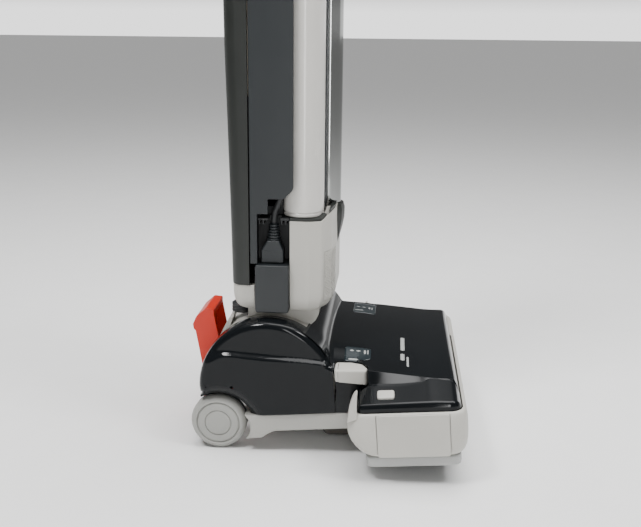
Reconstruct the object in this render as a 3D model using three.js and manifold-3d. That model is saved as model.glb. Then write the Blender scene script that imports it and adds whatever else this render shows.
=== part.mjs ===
// Upright vacuum cleaner, parked: power head on two rear wheels and a lift frame, body standing upright.
// Millimetres, +X forward, +Y to the machine's left, +Z up. Origin on the floor, centre of the head's footprint.
import * as THREE from 'three';
import { mergeVertices } from 'three/addons/utils/BufferGeometryUtils.js';
import Module from 'manifold-3d';

const wasm = await Module();
wasm.setup();

// Driving dimensions
const GAP = 0.3;              // clearance between neighbouring pieces
const PITCH = 4.7;            // nose-up angle of the head while parked, degrees
const AXLE = [-134.1, 34.9];  // rear wheel axis, x and z
const PIVOT = [-68, 79.5];    // handle pivot in the head's own level frame, x and z
const HUMP_R = 84.5;          // radius of the domed side covers
const DRUM_R = 83;            // radius of the neck drum between the domes
const COVER_Y = 115;          // half width over the side covers
const HEAD_Y = 180;           // half width of the power head
const RAIL_TOP = 46;          // top of the chassis rail
const PEDAL_PIN = [-163, 38]; // cross bar the release pedal folds on, head frame
const SEAM_X = 14;            // joint between side cover and head cover
const BODY_Y = 92;            // half width of the body over its side panels
const BODY_TOP = 800;         // top of the bag compartment
const PILLAR = [-33, 60, 24.5];  // front pillar: x, half spacing, radius
const WAND = [-8, 16];        // wand: x and radius

const CENTRE = [6, -0.15];    // shift that puts the origin under the middle of the whole machine, x and z
const WALL = 2.6;             // moulding thickness
const HEAD_REAR = 31;         // rear bulge of the bumper, head frame
const HEAD_FRONT = 170;       // front of the bumper, head frame

const radians = THREE.MathUtils.degToRad;

// Solids ---------------------------------------------------------------------------------------

// A closed solid from any closed three.js geometry, with collapsed triangles dropped and faces outward.
function solid(geometry) {
  const bare = geometry.index ? geometry.toNonIndexed() : geometry;
  for (const key of Object.keys(bare.attributes)) {
    if (key !== 'position') bare.deleteAttribute(key);
  }
  const merged = mergeVertices(bare, 1e-4);
  const at = merged.attributes.position;
  const corner = [0, 1, 2].map(() => new THREE.Vector3());
  const kept = [];
  let volume = 0;
  for (let i = 0; i < merged.index.count; i += 3) {
    const ids = [0, 1, 2].map((k) => merged.index.getX(i + k));
    if (ids[0] === ids[1] || ids[1] === ids[2] || ids[0] === ids[2]) continue;
    ids.forEach((id, k) => corner[k].fromBufferAttribute(at, id));
    volume += corner[0].dot(corner[1].clone().cross(corner[2]));
    kept.push(ids);
  }
  const order = volume < 0 ? kept.map(([a, b, c]) => [a, c, b]) : kept;
  return new wasm.Manifold(new wasm.Mesh({
    numProp: 3,
    vertProperties: new Float32Array(at.array),
    triVerts: new Uint32Array(order.flat()),
  }));
}

function box(x0, x1, y0, y1, z0, z1) {
  const shape = new THREE.BoxGeometry(x1 - x0, y1 - y0, z1 - z0);
  shape.translate((x0 + x1) / 2, (y0 + y1) / 2, (z0 + z1) / 2);
  return solid(shape);
}

function outline(points) {
  return new THREE.Shape(points.map(([a, b]) => new THREE.Vector2(a, b)));
}

// Corner list [a, b, radius] turned into a polygon with rounded corners.
function rounded(corners, steps = 4) {
  const out = [];
  corners.forEach(([a, b, r = 0], i) => {
    if (!r) {
      out.push([a, b]);
      return;
    }
    const here = new THREE.Vector2(a, b);
    const before = corners[(i + corners.length - 1) % corners.length];
    const after = corners[(i + 1) % corners.length];
    const u = new THREE.Vector2(before[0], before[1]).sub(here).normalize();
    const v = new THREE.Vector2(after[0], after[1]).sub(here).normalize();
    const half = Math.acos(THREE.MathUtils.clamp(u.dot(v), -1, 1)) / 2;
    const reach = r / Math.tan(half);
    const start = here.clone().addScaledVector(u, reach);
    const end = here.clone().addScaledVector(v, reach);
    const curve = new THREE.QuadraticBezierCurve(start, here, end);
    curve.getPoints(steps).forEach((p) => out.push([p.x, p.y]));
  });
  return out;
}

// Outline in x and z pushed along y, with an optional rounded shoulder at both ends.
function prism(points, y0, y1, shoulder = 0, steps = 3) {
  const made = new THREE.ExtrudeGeometry(outline(points), {
    depth: y1 - y0 - 2 * shoulder,
    bevelEnabled: shoulder > 0,
    bevelThickness: shoulder,
    bevelSize: shoulder,
    bevelOffset: -shoulder,
    bevelSegments: steps,
  });
  made.rotateX(Math.PI / 2);
  made.translate(0, y1 - shoulder, 0);
  return solid(made);
}

// Outline in x and y pushed up z.
function slab(points, z0, z1, shoulder = 0, steps = 2) {
  const made = new THREE.ExtrudeGeometry(outline(points), {
    depth: z1 - z0 - 2 * shoulder,
    bevelEnabled: shoulder > 0,
    bevelThickness: shoulder,
    bevelSize: shoulder,
    bevelOffset: -shoulder,
    bevelSegments: steps,
  });
  made.translate(0, 0, z0 + shoulder);
  return solid(made);
}

function barY(x, z, r, y0, y1, sides = 32) {
  const bar = new THREE.CylinderGeometry(r, r, y1 - y0, sides);
  bar.translate(x, (y0 + y1) / 2, z);
  return solid(bar);
}

function barZ(x, y, r, z0, z1, sides = 24) {
  const bar = new THREE.CylinderGeometry(r, r, z1 - z0, sides);
  bar.rotateX(Math.PI / 2);
  bar.translate(x, y, (z0 + z1) / 2);
  return solid(bar);
}

function barX(y, z, r, x0, x1, sides = 20) {
  const bar = new THREE.CylinderGeometry(r, r, x1 - x0, sides);
  bar.rotateZ(Math.PI / 2);
  bar.translate((x0 + x1) / 2, y, z);
  return solid(bar);
}

// Profile [radius, y] turned about the y axis through x, z.
function turnedY(profile, x, z, sides = 36) {
  const made = new THREE.LatheGeometry(profile.map(([r, y]) => new THREE.Vector2(r, y)), sides);
  made.translate(x, 0, z);
  return solid(made);
}

// Profile [radius, z] turned about a vertical axis through x, y.
function turnedZ(profile, x, y, sides = 24) {
  const made = new THREE.LatheGeometry(profile.map(([r, z]) => new THREE.Vector2(r, z)), sides);
  made.rotateX(Math.PI / 2);
  made.translate(x, y, 0);
  return solid(made);
}

// Skin through equal-length closed loops of [x, y, z], flat at both ends. The end loops are flattened
// on the plane named by flat ('x' or 'z') to be filled.
function loft(loops, flat) {
  const count = loops[0].length;
  const vertices = loops.flat(2);
  const faces = [];
  for (let k = 0; k + 1 < loops.length; k += 1) {
    for (let i = 0; i < count; i += 1) {
      const j = (i + 1) % count;
      const a = k * count + i;
      const b = k * count + j;
      faces.push(a, b, b + count, a, b + count, a + count);
    }
  }
  const pick = flat === 'x' ? (p) => new THREE.Vector2(p[1], p[2]) : (p) => new THREE.Vector2(p[0], p[1]);
  const last = (loops.length - 1) * count;
  const clockwise = THREE.ShapeUtils.area(loops[0].map(pick)) < 0;
  const cap = (loop, start, flip) => {
    THREE.ShapeUtils.triangulateShape(loop.map(pick), []).forEach(([a, b, c]) => {
      faces.push(start + a, ...(flip ? [start + c, start + b] : [start + b, start + c]));
    });
  };
  cap(loops[0], 0, !clockwise);
  cap(loops[loops.length - 1], last, clockwise);
  const made = new THREE.BufferGeometry();
  made.setAttribute('position', new THREE.Float32BufferAttribute(vertices, 3));
  made.setIndex(faces);
  return solid(made);
}

function sweep(points, r, sides = 10, steps = 24) {
  const path = new THREE.CatmullRomCurve3(points.map((p) => new THREE.Vector3(...p)));
  const ring = new THREE.Shape();
  ring.absarc(0, 0, r, 0, 2 * Math.PI, false);
  const made = new THREE.ExtrudeGeometry(ring, {
    steps, bevelEnabled: false, extrudePath: path, curveSegments: sides,
  });
  return solid(made);
}

function arc(x, z, r, from, to, steps) {
  return Array.from({ length: steps + 1 }, (_, i) => {
    const t = radians(from + (to - from) * i / steps);
    return [x + r * Math.cos(t), z + r * Math.sin(t)];
  });
}

function mirrored(shape) {
  return shape.mirror([0, 1, 0]);
}

// Scene ----------------------------------------------------------------------------------------

const group = new THREE.Group();
const head = new THREE.Group();
head.rotation.y = -radians(PITCH);
const turn = new THREE.Matrix4().makeRotationY(-radians(PITCH));
const axlePoint = new THREE.Vector3(AXLE[0], 0, AXLE[1]);
head.position.copy(axlePoint).sub(axlePoint.clone().applyMatrix4(turn));
const body = new THREE.Group();
group.add(head, body);
group.position.set(CENTRE[0], 0, CENTRE[1]);

// The pivot seen from the upright body.
const HUB = new THREE.Vector3(PIVOT[0], 0, PIVOT[1]).sub(axlePoint).applyMatrix4(turn).add(axlePoint);

// The pedal's pin seen from the same upright frame.
const PEDAL_FOOT = new THREE.Vector3(PEDAL_PIN[0], 0, PEDAL_PIN[1]).sub(axlePoint).applyMatrix4(turn).add(axlePoint);

const LOOKS = {
  gloss_black: [0x1b1f22, 0.18, 0],
  slate: [0x363c42, 0.45, 0],
  charcoal: [0x2b2e2d, 0.5, 0],
  black: [0x0c0d0e, 0.7, 0],
  pale_grey: [0xc4c2ba, 0.4, 0],
  sole_grey: [0xc3c9cc, 0.45, 0],
  red: [0xe0301a, 0.4, 0],
  chrome: [0xd8dade, 0.08, 1],
  steel: [0x9b9ea2, 0.3, 1],
  roller_brown: [0x6a655b, 0.75, 0],
  rubber: [0x17181a, 0.85, 0],
  bristle: [0x23282c, 0.9, 0],
  paper: [0xd9d2c0, 0.9, 0],
  label: [0x26343c, 0.4, 0],
};

function place(parent, name, shape, look) {
  const mesh = shape.getMesh();
  const geometry = new THREE.BufferGeometry();
  geometry.setAttribute('position', new THREE.BufferAttribute(new Float32Array(mesh.vertProperties), 3));
  geometry.setIndex(new THREE.BufferAttribute(new Uint32Array(mesh.triVerts), 1));
  geometry.computeVertexNormals();
  const [color, roughness, metalness] = LOOKS[look];
  const made = new THREE.Mesh(geometry, new THREE.MeshStandardMaterial({ color, roughness, metalness }));
  made.name = name;
  parent.add(made);
}

function pair(parent, name, right, look) {
  place(parent, `${name}_right`, right, look);
  place(parent, `${name}_left`, mirrored(right), look);
}

// Power head -----------------------------------------------------------------------------------

// Side profile of the domed cover, run on past the seam and the rail so that only the dome is rounded.
function domeProfile(inset) {
  const r = HUMP_R - inset;
  const top = 106.5 - inset;
  const start = THREE.MathUtils.radToDeg(Math.asin((top - PIVOT[1]) / r));
  const dome = arc(PIVOT[0], PIVOT[1], r, start, 183, 26);
  const rear = dome[dome.length - 1][0];
  return [[rear, 10], [60, 10], [60, top], ...dome];
}

function sideCover() {
  const outer = prism(domeProfile(0), -COVER_Y, 20, 15, 4);
  const keep = box(-200, SEAM_X - 0.2, -130, -79.8, RAIL_TOP + GAP, 200);
  const well = barY(-131, 32, 51, -130, -82, 40);
  const wellWall = barY(-131, 32, 51 + WALL, -130, -82 + WALL, 40);
  const hollow = prism(domeProfile(WALL), -COVER_Y + WALL, 20, 13, 3)
    .intersect(box(-200, SEAM_X - 0.2 - WALL, -130, 20, 0, 200))
    .subtract(wellWall);
  return outer.intersect(keep).subtract(well).subtract(hollow);
}

// Half outline of the head cover's cross-section at x: crown, facet, side strip and rounded edge.
function coverSection(x, wide, inset) {
  const t = THREE.MathUtils.clamp((x - 58) / 68, 0, 1);
  const crown = x < 60 ? 112.5 - 0.03 * (x - 20) : 111.3 - 0.17 * (x - 60) - 0.0012 * (x - 60) ** 2;
  const edge = crown - 3 * (1 - t) - 1;
  const low = wide ? 70.4 : RAIL_TOP + GAP;
  const front = THREE.MathUtils.clamp((x - 150) / 14, 0, 1);
  const drop = 9 * front;
  const half = wide
    ? [[172, low], [172, 75 - drop * 0.4], [168, 80.5 - drop], [137, 88.5 + 3.5 * t - drop], [130, edge - drop]]
    : [[112, low], [112, 103], [110, 106], [98, 109 - 0.02 * x], [90, edge + 1.5]];
  half.push([60, crown - drop], [0, crown + 0.8 - drop]);
  const right = half.map(([y, z], i) => [
    -(y - (i < 5 ? inset : 0)),
    i === 0 ? z - (inset ? 8 : 0) : z - inset,
  ]);
  const left = right.slice(0, -1).reverse().map(([y, z]) => [-y, z]);
  return [...right, ...left].map(([y, z]) => [x, y, z]);
}

function headCover() {
  const narrow = (inset) => loft([SEAM_X + 0.2 + inset, 30, 52].map((x) => coverSection(x, false, inset)), 'x');
  const wide = (inset) => loft(
    [45.2 + inset, 60, 80, 100, 126, 150, 158, 164 - inset].map((x) => coverSection(x, true, inset)), 'x',
  );
  const reach = DRUM_R + 1.2;
  const ramp = prism([
    [24, RAIL_TOP + GAP], [24, 112], [20, 112.4], [4, 130.5],
    ...arc(PIVOT[0], PIVOT[1], reach, 35.5, -10, 10),
    [SEAM_X + 0.2, RAIL_TOP + GAP],
  ], -79.4, 79.4);
  const hollow = narrow(WALL).add(wide(WALL))
    .subtract(box(0, 49, -200, -106, 0, 90)).subtract(box(0, 49, 106, 200, 0, 90));
  const seat = box(19.4, 56.4, -140, -97.6, 80.6, 130);
  return narrow(0).add(wide(0)).add(ramp).subtract(hollow)
    .subtract(seat).subtract(barY(PIVOT[0], PIVOT[1], reach, -79.4, 79.4, 72))
    .subtract(box(67.2, 87.8, -162.3, -147.7, 70, 110))
    .subtract(labelPlate(0.35)).subtract(mirrored(labelPlate(0.35)))
    .subtract(box(155.7, 175, 77.7, 160.3, 60, 95));
}

function labelPlate(extra) {
  return box(29 - extra, 58 + extra, -96.5 - extra, -60 + extra, 110.2 - extra, 113.1 + extra);
}

function bumperLoop(rear, front, half, z, r = 15) {
  return rounded([
    [rear, -half, r], [front, -half, r], [front, half, r], [rear, half, r],
  ], 4).map(([x, y]) => [x, y, z]);
}

function bumperShell() {
  const outer = loft([
    bumperLoop(53, 160, 172, 16.4), bumperLoop(44, 166, 176, 22), bumperLoop(36, 169.5, 178, 33),
    bumperLoop(HEAD_REAR, HEAD_FRONT, 178.5, 48), bumperLoop(32, HEAD_FRONT, 178, 62),
    bumperLoop(35, 168, 176, 70),
  ], 'z');
  const inner = loft([
    bumperLoop(60, 155, 166, 10), bumperLoop(46, 161, 168.5, 30), bumperLoop(42, 161.5, 168.5, 50),
    bumperLoop(42, 161.5, 168.5, 80),
  ], 'z');
  return outer.subtract(inner).subtract(box(0, 75, -125, 125, 0, 90));
}

function bumperFin() {
  return prism([[34.6, 66], [36.5, 80], [41, 90], [44.8, 94.6], [44.8, 66]], -176, -150);
}

function bumper() {
  const capSeat = box(65.2, 149, -190, -175.4, 18.1, 75);
  const fin = bumperFin();
  return bumperShell().add(fin).add(mirrored(fin))
    .subtract(capSeat).subtract(mirrored(capSeat));
}

function endCap() {
  const face = rounded([[65.5, 18.4, 3], [148.7, 18.4, 3], [148.7, 69.6, 3], [65.5, 69.6, 3]], 2);
  return prism(face, -HEAD_Y, -175.7, 1.4, 1);
}

function solePlate() {
  const plan = rounded([[51, -172, 10], [161, -172, 12], [161, 172, 12], [51, 172, 10]], 3);
  const plate = slab(plan, 3, 16, 2.5, 2);
  return plate.subtract(box(80, 142, -150, 150, 0, 20));
}

function brushRoller() {
  return turnedY([
    [0, -160], [6, -160], [6, -150], [15, -150], [12.5, -148], [12.5, -142], [15, -140], [21, -137],
    [21, 146], [6, 148], [6, 160], [0, 160],
  ], 111, 33.5, 20);
}

function bristleRow(phase) {
  const turns = 0.6;
  const loops = Array.from({ length: 21 }, (_, i) => {
    const y = -132 + i * 13.6;
    const angle = phase + 2 * Math.PI * turns * i / 20;
    const at = (r, w) => [
      111 + r * Math.cos(angle) - w * Math.sin(angle), y, 33.5 + r * Math.sin(angle) + w * Math.cos(angle),
    ];
    return [at(21.9, -2), at(29, -1.6), at(29, 1.6), at(21.9, 2)];
  });
  const count = 4;
  const faces = [];
  for (let k = 0; k + 1 < loops.length; k += 1) {
    for (let i = 0; i < count; i += 1) {
      const j = (i + 1) % count;
      faces.push(k * count + i, k * count + j, (k + 1) * count + j);
      faces.push(k * count + i, (k + 1) * count + j, (k + 1) * count + i);
    }
  }
  const last = (loops.length - 1) * count;
  faces.push(0, 2, 1, 0, 3, 2, last, last + 1, last + 2, last, last + 2, last + 3);
  const made = new THREE.BufferGeometry();
  made.setAttribute('position', new THREE.Float32BufferAttribute(loops.flat(2), 3));
  made.setIndex(faces);
  return solid(made);
}

function driveBelt() {
  const loop = (extra, y) => barY(111, 33.5, 12.5 + extra, -y - 2.6, 2.6 - y, 20)
    .add(barY(62, 66, 8.5 + extra, -y - 2.6, 2.6 - y, 20))
    .add(prism(beltSides(extra), -y - 2.6, 2.6 - y));
  return loop(2.4, 145).subtract(loop(0.35, 145));
}

// The two straight runs of the belt, as one quadrilateral between the pulleys.
function beltSides(extra) {
  const big = [111, 33.5, 12.5 + extra];
  const small = [62, 66, 8.5 + extra];
  const lean = Math.atan2(small[1] - big[1], small[0] - big[0]);
  const tilt = Math.acos((big[2] - small[2]) / Math.hypot(small[0] - big[0], small[1] - big[1]));
  const at = ([x, z, r], angle) => [x + r * Math.cos(angle), z + r * Math.sin(angle)];
  return [at(big, lean - tilt), at(big, lean + tilt), at(small, lean + tilt), at(small, lean - tilt)];
}

function motorPulley() {
  return turnedY([[0, -150], [10.4, -150], [10.4, -148.4], [8.2, -148], [8.2, -142], [10.4, -141.6],
    [10.4, -140], [4, -140], [4, -112], [0, -112]], 62, 66, 24);
}

function brushMotor() {
  return turnedY([[0, -111.6], [9, -111.6], [9, -97], [21, -95], [24, -92], [24, 8], [20, 12], [7, 12],
    [7, 18], [0, 18]], 62, 66, 28);
}

function chassis() {
  const side = [
    [-99, RAIL_TOP], [33, RAIL_TOP], [33, 24], [-64, 23.4], [-72, 20], [-79.8, 15], [-100, 14.4],
    ...arc(-131, 32, 37.5, -28, 18, 5).slice(1, 5).map(([x, z]) => [x, z]),
  ];
  const tray = prism(side, -112, 112, 2.2, 2);
  const hollow = box(-92, 28, -106, 106, 28, 60).add(box(-140, -80, -79, 79, 0, 60));
  const floor = box(28, 76, -104, 104, 24, 28).subtract(box(36, 88, -95, 25, 20, 30));
  const arm = prism(rounded([
    [-169, 30, 6], [-146, 26], [-84, 26], [-84, RAIL_TOP - 1], [-169, RAIL_TOP - 1, 6],
  ], 4), -84.6, -79.6);
  const pin = barY(PEDAL_PIN[0], PEDAL_PIN[1], 3.5, -80, 80, 16);
  const tower = prism(rounded([
    [-74, 27], [-44, 27], [-44, 106, 20], [-92, 106, 20], [-92, 78], [-76, 62],
  ], 4), -92, -86);
  const hole = barY(PIVOT[0], PIVOT[1], 20.3, -120, 120, 32);
  const axleHole = barY(AXLE[0], AXLE[1], 5.3, -120, 120, 20);
  return tray.subtract(hollow).add(floor).add(arm).add(mirrored(arm)).add(pin)
    .add(tower).add(mirrored(tower)).subtract(hole).subtract(axleHole);
}

function wheel() {
  const r = 34.9;
  return turnedY([
    [5.4, -85.4], [31, -85.4], [r, -89], [r, -100], [r - 3, -105.4], [r - 7.5, -107.6], [26.2, -106.6],
    [24.8, -107.9], [0, -108.2], [0, -104], [5.4, -104], [5.4, -85.4],
  ], AXLE[0], AXLE[1], 32);
}

function axleStub() {
  return turnedY([[0, -103.6], [5, -103.6], [5, -79.2], [8, -79.2], [8, -77.6], [0, -77.6]], AXLE[0], AXLE[1], 20);
}

const LIFT = [8, -2.9];   // lift roller axis

function liftFrame() {
  const side = rounded([[-18, 23.6], [31, 23.6], [31, -9.6, 6], [-6, -7.6, 8], [-16, 8, 6]], 3);
  const pocket = box(LIFT[0] - 10.5, LIFT[0] + 10.5, -56, -34, -20, 8.5);
  return prism(side, -60, 60, 1.5, 1).subtract(pocket).subtract(mirrored(pocket))
    .subtract(barY(LIFT[0], LIFT[1], 2.3, -56, 56, 12).intersect(box(-50, 50, -57, 57, -20, 20)))
    .subtract(box(-4, 22, -27, 27, -20, 16));
}

function liftRoller() {
  return turnedY([[0, -53], [7.6, -53], [8.7, -51.5], [8.7, -38.5], [7.6, -37], [0, -37]], LIFT[0], LIFT[1], 24);
}

function heightPedal() {
  const plan = rounded([[20, -97.9, 3], [20, -125, 4], [53.6, -125, 3], [55.4, -117, 3], [48, -101], [36, -97.9]], 3);
  return slab(plan, 87, 104.6, 1.2, 1).subtract(box(24.6, 25.8, -130, -90, 101, 110));
}

function releaseButton() {
  const plan = rounded([[67.5, -162, 2.5], [87.5, -162, 2.5], [87.5, -148, 2.5], [67.5, -148, 2.5]], 2);
  const top = solid(new THREE.BoxGeometry(60, 60, 20).rotateX(radians(14)).translate(77, -155, 97.4));
  return slab(plan, 80, 96).subtract(top);
}

function frontInsert() {
  return prism([[156, 70.6], [165.5, 70.6], [159, 79.5], [156, 80.6]], 78, 160);
}

function pivotBush() {
  return turnedY([
    [16.3, -86.2], [20, -86.2], [20, -92.3], [23, -92.3], [23, -94.2], [16.3, -94.2], [16.3, -86.2],
  ], PIVOT[0], PIVOT[1], 28);
}

place(head, 'base_chassis', chassis(), 'pale_grey');
pair(head, 'side_cover', sideCover(), 'gloss_black');
place(head, 'head_cover', headCover(), 'gloss_black');
place(head, 'front_insert', frontInsert(), 'pale_grey');
place(head, 'bumper', bumper(), 'pale_grey');
pair(head, 'end_cap', endCap(), 'pale_grey');
place(head, 'sole_plate', solePlate(), 'sole_grey');
place(head, 'brush_roller', brushRoller(), 'black');
place(head, 'bristle_row_1', bristleRow(0), 'bristle');
place(head, 'bristle_row_2', bristleRow(Math.PI), 'bristle');
place(head, 'brush_motor', brushMotor(), 'steel');
place(head, 'motor_pulley', motorPulley(), 'steel');
place(head, 'drive_belt', driveBelt(), 'rubber');
pair(head, 'axle', axleStub(), 'steel');
pair(head, 'wheel', wheel(), 'pale_grey');
place(head, 'lift_frame', liftFrame(), 'roller_brown');
pair(head, 'lift_roller', liftRoller(), 'rubber');
place(head, 'height_pedal', heightPedal(), 'pale_grey');
place(head, 'brush_release_button', releaseButton(), 'pale_grey');
pair(head, 'label', labelPlate(0), 'label');
pair(head, 'pivot_bush', pivotBush(), 'black');

// Release pedal, upright behind the head -------------------------------------------------------

function releasePedal() {
  const side = rounded([
    [-163.5, 46, 3], [-155.5, 46, 3], [-146.5, 116], [-153.5, 152], [-153, 157.5, 1], [-163.5, 158, 1.5],
    [-176, 146, 2], [-180.5, 136, 1], [-179.6, 129.5], [-177, 128],
  ], 2);
  const recess = prism([[-159, 60], [-140, 60], [-140, 150], [-160, 150]], -27, 27);
  const lug = prism([
    [-157.6, 50], ...arc(PEDAL_FOOT.x, PEDAL_FOOT.z, 6.6, 0, -180, 10), [-165, 50],
  ], 20, 28);
  return prism(side, -30, 30).subtract(recess).add(lug).add(mirrored(lug))
    .subtract(barY(PEDAL_FOOT.x, PEDAL_FOOT.z, 3.8, -40, 40, 16));
}

place(body, 'release_pedal', releasePedal(), 'red');

// Neck and body --------------------------------------------------------------------------------

function neckDrum() {
  const { x, z } = HUB;
  const sector = (r, y) => prism([[x, z], ...arc(x, z, r, -30, 135, 30)], -y, y);
  const shell = sector(DRUM_R, 76.8).subtract(sector(DRUM_R - 3.5, 73.4));
  const disc = barY(x, z, 47, -76.8, -73.4, 36).add(barY(x, z, 16, -94, -73.4, 28));
  const neck = prism([
    [-98, 176.2], [-12, 176.2], [-14, 164], [-31, 149.5], [-45, 140], [-100, 140],
  ], -68, 68, 1.5, 1);
  const duct = barZ(-58, 0, 26, 120, 190, 28);
  return shell.add(disc).add(mirrored(disc)).add(neck.subtract(barY(x, z, DRUM_R - 3.4, -73.3, 73.3, 60)))
    .subtract(duct);
}

function hoseGuard() {
  const { x, z } = HUB;
  const inner = arc(x, z, DRUM_R + 0.3, 141, 128.5, 5);
  return prism([...inner, [-121.2, 157.4], [-120.6, 160.4], [-123.4, 160], [-128.4, 154], [-132.6, 145.5]], -70, -34);
}

function neckHose() {
  const profile = [[0, 164.4]];
  for (let i = 0; i < 3; i += 1) {
    const z = 164.4 + i * 4;
    profile.push([11, z], [12.6, z + 1.2], [12.6, z + 2.8], [11, z + 4]);
  }
  profile.push([0, 176.4]);
  const tidy = profile.filter((p, i) => i === 0 || p[0] !== profile[i - 1][0] || p[1] !== profile[i - 1][1]);
  const cut = barY(HUB.x, HUB.z, DRUM_R + 0.4, -80, 80, 60);
  return turnedZ(tidy, -112, -50, 16).subtract(cut);
}

function bodyLoop(rear, front, half, z, r) {
  return rounded([[front, -half], [front, half], [rear, half, r], [rear, -half, r]], 5)
    .map(([x, y]) => [x, y, z]);
}

function rearCover() {
  const outer = loft([
    bodyLoop(-117.8, -95.2, 90, 209.4, 15), bodyLoop(-123.2, -95.2, 90, 485, 15),
    bodyLoop(-124.5, -95.2, 90, 770, 15), bodyLoop(-120, -95.2, 88, BODY_TOP - 0.4, 15),
  ], 'z');
  const inner = loft([
    bodyLoop(-115.2, -90, 87.4, 212, 12), bodyLoop(-120.6, -90, 87.4, 485, 12),
    bodyLoop(-121.9, -90, 87.4, 770, 12), bodyLoop(-119, -90, 86, BODY_TOP - 3, 12),
  ], 'z');
  return outer.subtract(inner).subtract(box(-130, -112, -18.3, 18.3, 222, 240));
}

function rearCap() {
  const outer = loft([
    bodyLoop(-106, -89.6, 78, 176.5, 9), bodyLoop(-112.5, -89.6, 84, 180, 12), bodyLoop(-116.4, -89.6, 87, 187, 14),
    bodyLoop(-117.6, -89.6, 88, 196, 15), bodyLoop(-117.6, -89.6, 88, 209, 15),
  ], 'z');
  return outer.subtract(box(-112, -80, -80, 80, 186, 215));
}

function bodyCore() {
  const upper = box(-94.4, -58.4, -84, 84, 297, BODY_TOP - 0.4).subtract(box(-100, -61, -80, 80, 301, BODY_TOP - 6));
  const lower = box(-88.6, -47.3, -59.6, 59.6, 183, 291.8).add(box(-88.6, -58.4, -59.6, 59.6, 283, 300))
    .subtract(barZ(-46, 0, 41, 190, 288, 28))
    .subtract(box(-80, -40, -30, 30, 190, 288));
  return upper.add(lower).subtract(box(-93, -40, -95, -59.8, 230, 338)).subtract(barZ(-62, 0, 18, 285, 310, 20));
}

function sidePanelRight() {
  return prism(rounded([
    [-93.8, 236.6], [-85.2, 236.6], [-85.2, 297.5], [-72.3, 297.5], [-72.3, 315.5], [-54, 315.5, 6],
    [-42.3, 327, 8], [-42.3, BODY_TOP], [-93.8, BODY_TOP],
  ], 4), -BODY_Y, -87.5);
}

function sidePanelLeft() {
  return prism(rounded([
    [-93.8, 209.4], [-47.2, 209.4], [-47.2, 292, 4], [-42.3, 300, 4], [-42.3, BODY_TOP], [-93.8, BODY_TOP],
  ], 4), 87.5, BODY_Y);
}

function socketBox() {
  const side = rounded([[-88, 177, 3], [-47.4, 177, 3], [-47.4, 236.2, 3], [-88, 236.2, 3]], 2);
  return prism(side, -96, -60.2, 1.6, 1);
}

function plugBody() {
  const side = rounded([
    [-81.5, 236.6], [-54.6, 236.6], [-54.6, 252.5, 3], [-59.4, 264], [-74.4, 264], [-81.5, 252.5, 3],
  ], 3);
  return prism(side, -87, -69, 2, 2);
}

function plugRelief() {
  const profile = [[0, 264.3]];
  for (let i = 0; i < 4; i += 1) {
    const z = 264.3 + i * 5;
    const r = 7.4 - i * 0.5;
    profile.push([r, z], [r, z + 3], [r - 1.6, z + 3.6], [r - 1.6, z + 5]);
  }
  profile.push([0, 284.3]);
  return turnedZ(profile, -66.8, -78, 12);
}

function plugLead() {
  return sweep([
    [-66.8, -78, 284.6], [-66.4, -78, 290], [-65.6, -78, 298], [-62, -78.4, 307], [-59, -79, 315],
    [-58.6, -79, 323], [-58.6, -79, 332],
  ], 3.5, 4, 12);
}

function cordComb() {
  let comb = box(-85, -47.8, -86.6, -60.2, 289.2, 292).subtract(box(-73, -58, -90, -70, 280, 300));
  for (const x of [-83, -78.5, -56.5, -51.5]) {
    comb = comb.add(box(x - 0.9, x + 0.9, -86.6, -62, 284.5, 289.6));
  }
  return comb;
}

function pillar() {
  const [x, y, r] = PILLAR;
  return turnedZ([
    [r - 2.4, 292.4], [r - 1, 292.4], [r, 293.6], [r, 296.6], [r - 0.7, 297.2], [r - 0.7, 298], [r, 298.6],
    [r, BODY_TOP], [r - 2.4, BODY_TOP], [r - 2.4, 292.4],
  ], x, -y, 24);
}

function frontSpine() {
  return box(-57.8, -9, -34.6, 34.6, 293.6, BODY_TOP).subtract(barZ(WAND[0], 0, WAND[1] + 0.8, 200, 900, 32))
    .subtract(box(-52, -28, -28, 28, 280, 900));
}

function wandTube() {
  const [x, r] = WAND;
  return turnedZ([[r - 1.4, 298], [r, 298], [r, 870], [r - 1.4, 870], [r - 1.4, 298]], x, 0, 32);
}

// Shield-shaped holder under the wand, pointed below. Extra grows it for the seat in the housing.
function holder(extra) {
  const levels = [[240, 2, 2.5], [250, 7, 5.5], [264, 14, 9.5], [277, 19, 12.6], [291, 20, 12.6], [297, 20, 11]];
  const loops = levels.map(([z, half, front], i) => {
    const w = half + extra;
    const lift = i === 0 ? -extra : 0;
    return [[-7 - extra, -w], [front * 0.4, -w], [front + extra, -w * 0.45], [front + extra, w * 0.45],
      [front * 0.4, w], [-7 - extra, w]].map(([x, y]) => [x, y, z + lift]);
  });
  return loft(loops, 'z');
}

function housingPlan(inset) {
  const half = [[-46.8, 88], [-24, 89], [-9, 83.5], [1, 62], [4.6, 35]];
  const right = half.map(([x, y], i) => [x - (i > 1 ? inset : 0), -(y - (i < 4 ? inset : 0))]);
  return [...right, ...right.slice().reverse().map(([x, y]) => [x, -y])];
}

function housingBlock(inset, z0, z1) {
  const level = (shrink, z) => housingPlan(shrink).map(([x, y]) => [x, y, z]);
  return loft([
    level(inset + 9, z0), level(inset + 4, z0 + 4.5), level(inset, z0 + 13), level(inset, z1),
  ], 'z');
}

function motorHousing() {
  const full = housingBlock(0, 176.7, 289);
  const hollow = slab(housingPlan(WALL + 0.4).map(([x, y]) => [x < -40 ? -60 : x, y]), 192, 286);
  const doorSeat = box(-6.3, 20, -100, 100, 189.7, 250.3).subtract(slab(housingPlan(2.9), 180, 260));
  return full.subtract(hollow).subtract(doorSeat.intersect(box(-20, 20, -79.3, 79.3, 180, 260)))
    .subtract(holder(0.5)).subtract(barZ(-46, 0, 40.4, 195, 285, 36));
}

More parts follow.
